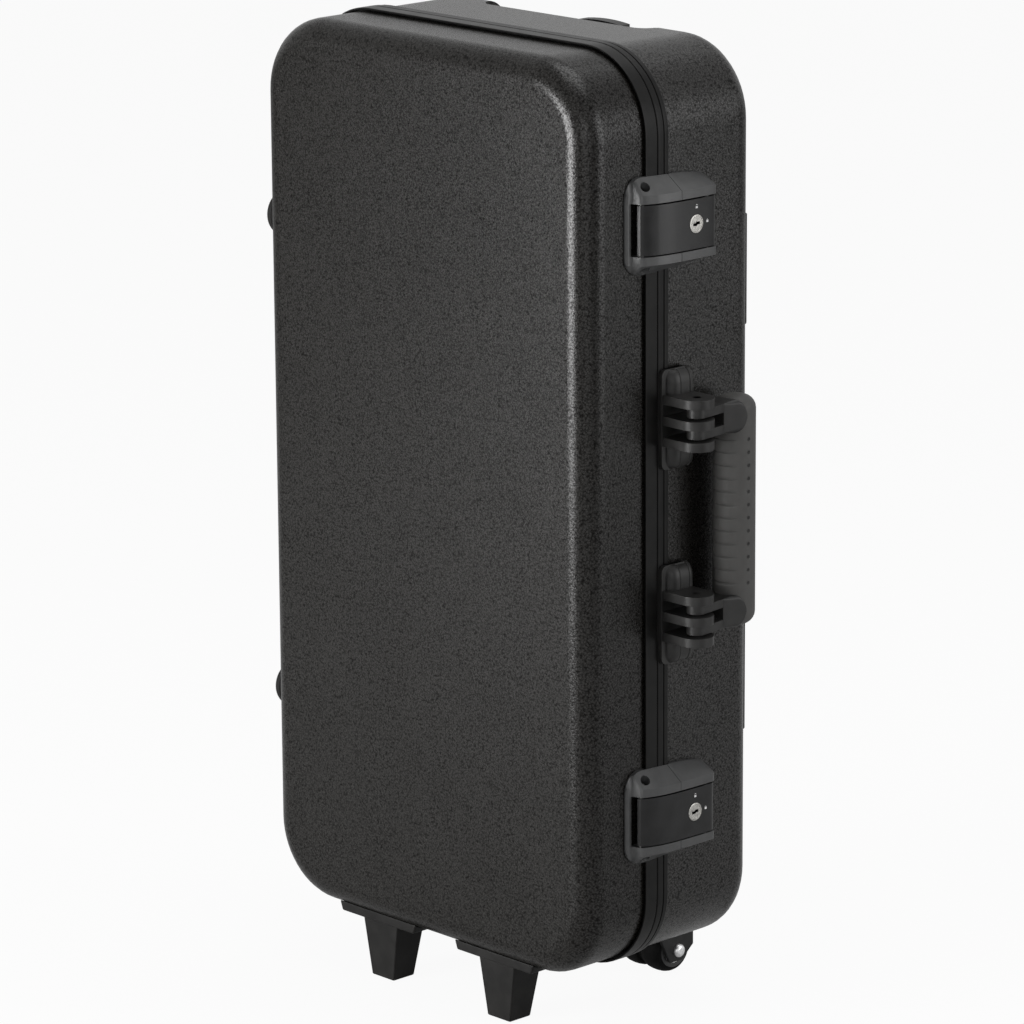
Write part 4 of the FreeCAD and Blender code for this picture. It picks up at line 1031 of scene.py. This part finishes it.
# groove: steps from the end and the radius; dish: steps from the end, and radii
bumper = {
    "middles": {"lower": 157.0, "upper": 537.0}, "depths": {"lid": 39.0, "base": 125.0}, "seat": 178.15,
    "seatRadius": 17.2, "seatRise": 1.2, "end": 198.0, "radius": 18.0, "edge": 3.0, "edgeSteps": 5,
    "steps": 56, "groove": ((-7.6, 0.0), (-7.2, -0.5), (-6.4, -0.5), (-6.0, 0.0)),
    "dish": ((0.0, 7.2), (-0.4, 6.6), (-0.9, 5.2), (-1.6, 4.4)), "well": 4.4, "hole": 2.15, "floor": 186.0,
}


def makeBumper(half, level):
    seat, end, radius, edge = bumper["seat"], bumper["end"], bumper["radius"], bumper["edge"]
    profile = [(seat, bumper["hole"]), (seat, bumper["seatRadius"]), (seat + bumper["seatRise"], radius)]
    profile += [(end + place, radius + step) for place, step in bumper["groove"]]
    for cosine, sine in quarterTurn(bumper["edgeSteps"]):
        profile.append((end - edge + edge * sine, radius - edge + edge * cosine))
    profile += [(end + place, wide) for place, wide in bumper["dish"]]
    profile += [(bumper["floor"], bumper["well"]), (bumper["floor"], bumper["hole"]), (seat, bumper["hole"])]
    bm = bmesh.new()
    spunRing(bm, profile, (0, bumper["depths"][half], bumper["middles"][level]), (-1, 0, 0), bumper["steps"])
    keepPiece(rawObject(bm, "bumper"), half + "Bumper." + level, half, "bumperRubber",
              [half + "_bumper_" + level], sharp=40.0)


# back feet: blocks with a row of shallow pockets in the sole
backFoot = {
    "xs": {"left": -131.8, "right": 131.8}, "zs": {"lower": 198.5, "upper": 517.5}, "half": 11.0,
    "long": 43.0, "seat": 178.1, "rear": 205.0, "round": 1.6, "steps": 5, "ribs": 7, "ribEdge": 1.3,
    "ribSlope": 0.6, "sunk": 1.2, "soleFacing": 0.99, "soleArea": 40.0,
}


def makeBackFoot(level, side):
    x, z = backFoot["xs"][side], backFoot["zs"][level]
    half, tall, rear = backFoot["half"], backFoot["long"], backFoot["rear"]
    bm = bmesh.new()
    boxOf(bm, (x - half, backFoot["seat"], z - tall), (x + half, rear, z + tall))
    outward = [edge for edge in bm.edges if runsAlong(edge, "y")]
    rounded(bm, edgesAt(bm, "y", rear) + outward, backFoot["round"], backFoot["steps"])
    step = 2 * (tall - backFoot["round"]) / backFoot["ribs"]
    for number in range(backFoot["ribs"] + 1):
        sliceAt(bm, (x, 0, z - tall + backFoot["round"] + number * step), (0, 0, 1))
    soles = [face for face in bm.faces if face.normal.y > backFoot["soleFacing"]
             and face.calc_center_median().y > rear - near["touch"]
             and face.calc_area() > backFoot["soleArea"]]
    for thickness, depth in ((backFoot["ribEdge"], 0.0), (backFoot["ribSlope"], -backFoot["sunk"])):
        bmesh.ops.inset_individual(bm, faces=soles, thickness=thickness, depth=depth, use_even_offset=True)
    keepPiece(rawObject(bm, "backFoot"), "backFoot." + level + "." + side, "base", "footBlack",
              ["back_foot_" + level + "_" + side], sharp=40.0)


# tread: (distance from the wheel's middle, radius), one bulge on each side of a groove
tyre = {
    "xs": {"left": -63.5, "right": 63.5}, "y": 185.0, "z": -32.5, "bore": 14.65, "bead": 0.4,
    "grooveFloor": 15.8,
    "tread": ((2.5, 16.1), (2.8, 17.3), (3.6, 18.3), (5.4, 19.0), (8.5, 19.4), (12.5, 19.5), (16.0, 19.2),
              (18.8, 18.4), (20.9, 17.2), (22.1, 15.9), (22.5, 15.2)), "steps": 64,
}


def makeTyre(side):
    half = [*tyre["tread"], (tyre["tread"][-1][0] - tyre["bead"], tyre["bore"])]
    floor = [(0.0, tyre["grooveFloor"])]
    ring = floor + half + [(-place, radius) for place, radius in half[::-1]] + floor
    bm = bmesh.new()
    spunRing(bm, ring, (tyre["xs"][side], tyre["y"], tyre["z"]), (1, 0, 0), tyre["steps"])
    keepPiece(rawObject(bm, "tyre"), "wheelTyre." + side, "wheel_" + side, "tyreRubber",
              ["wheel_tyre_" + side], sharp=40.0)


for side in ("left", "right"):
    makeFoot(side)
    makeTyre(side)
    for level in ("lower", "upper"):
        makeBackFoot(level, side)
for half in ("lid", "base"):
    for level in ("lower", "upper"):
        makeBumper(half, level)
print("feet, bumpers and tyres made")


# CAD nodes that keep their shape, by how their names start
nodeFinish = {
    "pinSteel": ("hinge_pins", "latch_strikes", "latch_pivot_pins", "release_yoke", "lid_screws",
                 "base_screws"),
    "axleSteel": ("wheel_axle", "wheel_bearings"),
    "tubeAluminium": ("pull_tube",),
    "guideBlack": ("guide_tube",),
    "bracketBlack": ("hinge_lid_leaf", "hinge_base_leaf", "wheel_bracket", "handle_pins"),
    "handleBlack": ("guide_bracket", "pull_grip", "release_button"),
    "hubGrey": ("wheel_hub",),
    "bumperRubber": ("seal",),
}
for look, starts in nodeFinish.items():
    for name in nodes:
        if name.startswith(starts):
            for spot in nodes[name].material_slots:
                spot.material = finish[look]
print("nodes dressed")


# studio, in metres: pale floor, white background, soft lamps above, in front and on the right
studio = {
    "floor": 30.0, "floorTone": (0.6, 0.6, 0.6, 1), "floorRough": 0.9, "floorGlow": 0.94, "floorMirror": 0.15,
    "worldLight": 0.26, "worldMirror": 0.62, "background": 1.0,
    "lamps": {
        "above": {"place": (0.2, 0.3, 2.7), "aim": (0.0, 0.0, 0.5), "size": (1.8, 1.6), "power": 26.0},
        "strip": {"place": (-0.65, -2.27, 0.5), "aim": (0.0, 0.0, 0.4), "size": (1.1, 1.0), "power": 76.0},
        "right": {"place": (2.6, 1.2, 1.0), "aim": (0.0, 0.0, 0.4), "size": (1.2, 2.0), "power": 32.0},
        "fill": {"place": (2.2, -2.0, 0.9), "aim": (0.0, 0.0, 0.4), "size": (1.6, 1.6), "power": 12.0},
    },
}


def mixWhite(tree, plain, white, ending, seen, mirrored):
    # in these shares, rays that see it straight or mirrored meet the white shader, the rest the plain one
    path = tree.nodes.new("ShaderNodeLightPath")
    straight = mathOf(tree, "MAXIMUM", path.outputs["Is Camera Ray"], path.outputs["Is Transmission Ray"])
    share = mathOf(tree, "MAXIMUM", timesOf(tree, straight, seen),
                   timesOf(tree, path.outputs["Is Glossy Ray"], mirrored))
    mix = tree.nodes.new("ShaderNodeMixShader")
    for output, socket in zip((share, plain, white), mix.inputs):
        tree.links.new(output, socket)
    tree.links.new(mix.outputs["Shader"], tree.nodes[ending].inputs["Surface"])


def makeWorld():
    world = bpy.data.worlds.new("studio")
    world.use_nodes = True
    bpy.context.scene.world = world
    tree = world.node_tree
    ambient = tree.nodes["Background"]
    white = tree.nodes.new("ShaderNodeBackground")
    for shader, strength in ((ambient, studio["worldLight"]), (white, studio["background"])):
        fill(tree, shader, Color=(1, 1, 1, 1), Strength=strength)
    mixWhite(tree, ambient.outputs["Background"], white.outputs["Background"], "World Output", 1.0,
             studio["worldMirror"])


def makeFloor():
    bm = bmesh.new()
    bmesh.ops.create_grid(bm, x_segments=4, y_segments=4, size=studio["floor"])
    mesh = bpy.data.meshes.new("floor")
    bm.to_mesh(mesh)
    bm.free()
    floor = bpy.data.objects.new("floor", mesh)
    bpy.context.collection.objects.link(floor)
    material = bpy.data.materials.new("paleFloor")
    material.use_nodes = True
    tree = material.node_tree
    shader = fill(tree, tree.nodes["Principled BSDF"], Base_Color=studio["floorTone"],
                  Roughness=studio["floorRough"])
    glow = nodeOf(tree, "ShaderNodeEmission", Strength=studio["background"])
    mixWhite(tree, shader.outputs["BSDF"], glow.outputs["Emission"], "Material Output", studio["floorGlow"],
             studio["floorMirror"])
    mesh.materials.append(material)


def makeLamps():
    for name, lamp in studio["lamps"].items():
        data = bpy.data.lights.new(name, "AREA")
        data.shape = "RECTANGLE"
        data.size, data.size_y = lamp["size"]
        data.energy = lamp["power"]
        light = bpy.data.objects.new(name, data)
        bpy.context.collection.objects.link(light)
        light.location = lamp["place"]
        aim = Vector(lamp["aim"]) - light.location
        light.rotation_euler = aim.to_track_quat("-Z", "Y").to_euler()


makeWorld()
makeFloor()
makeLamps()
print("studio made")
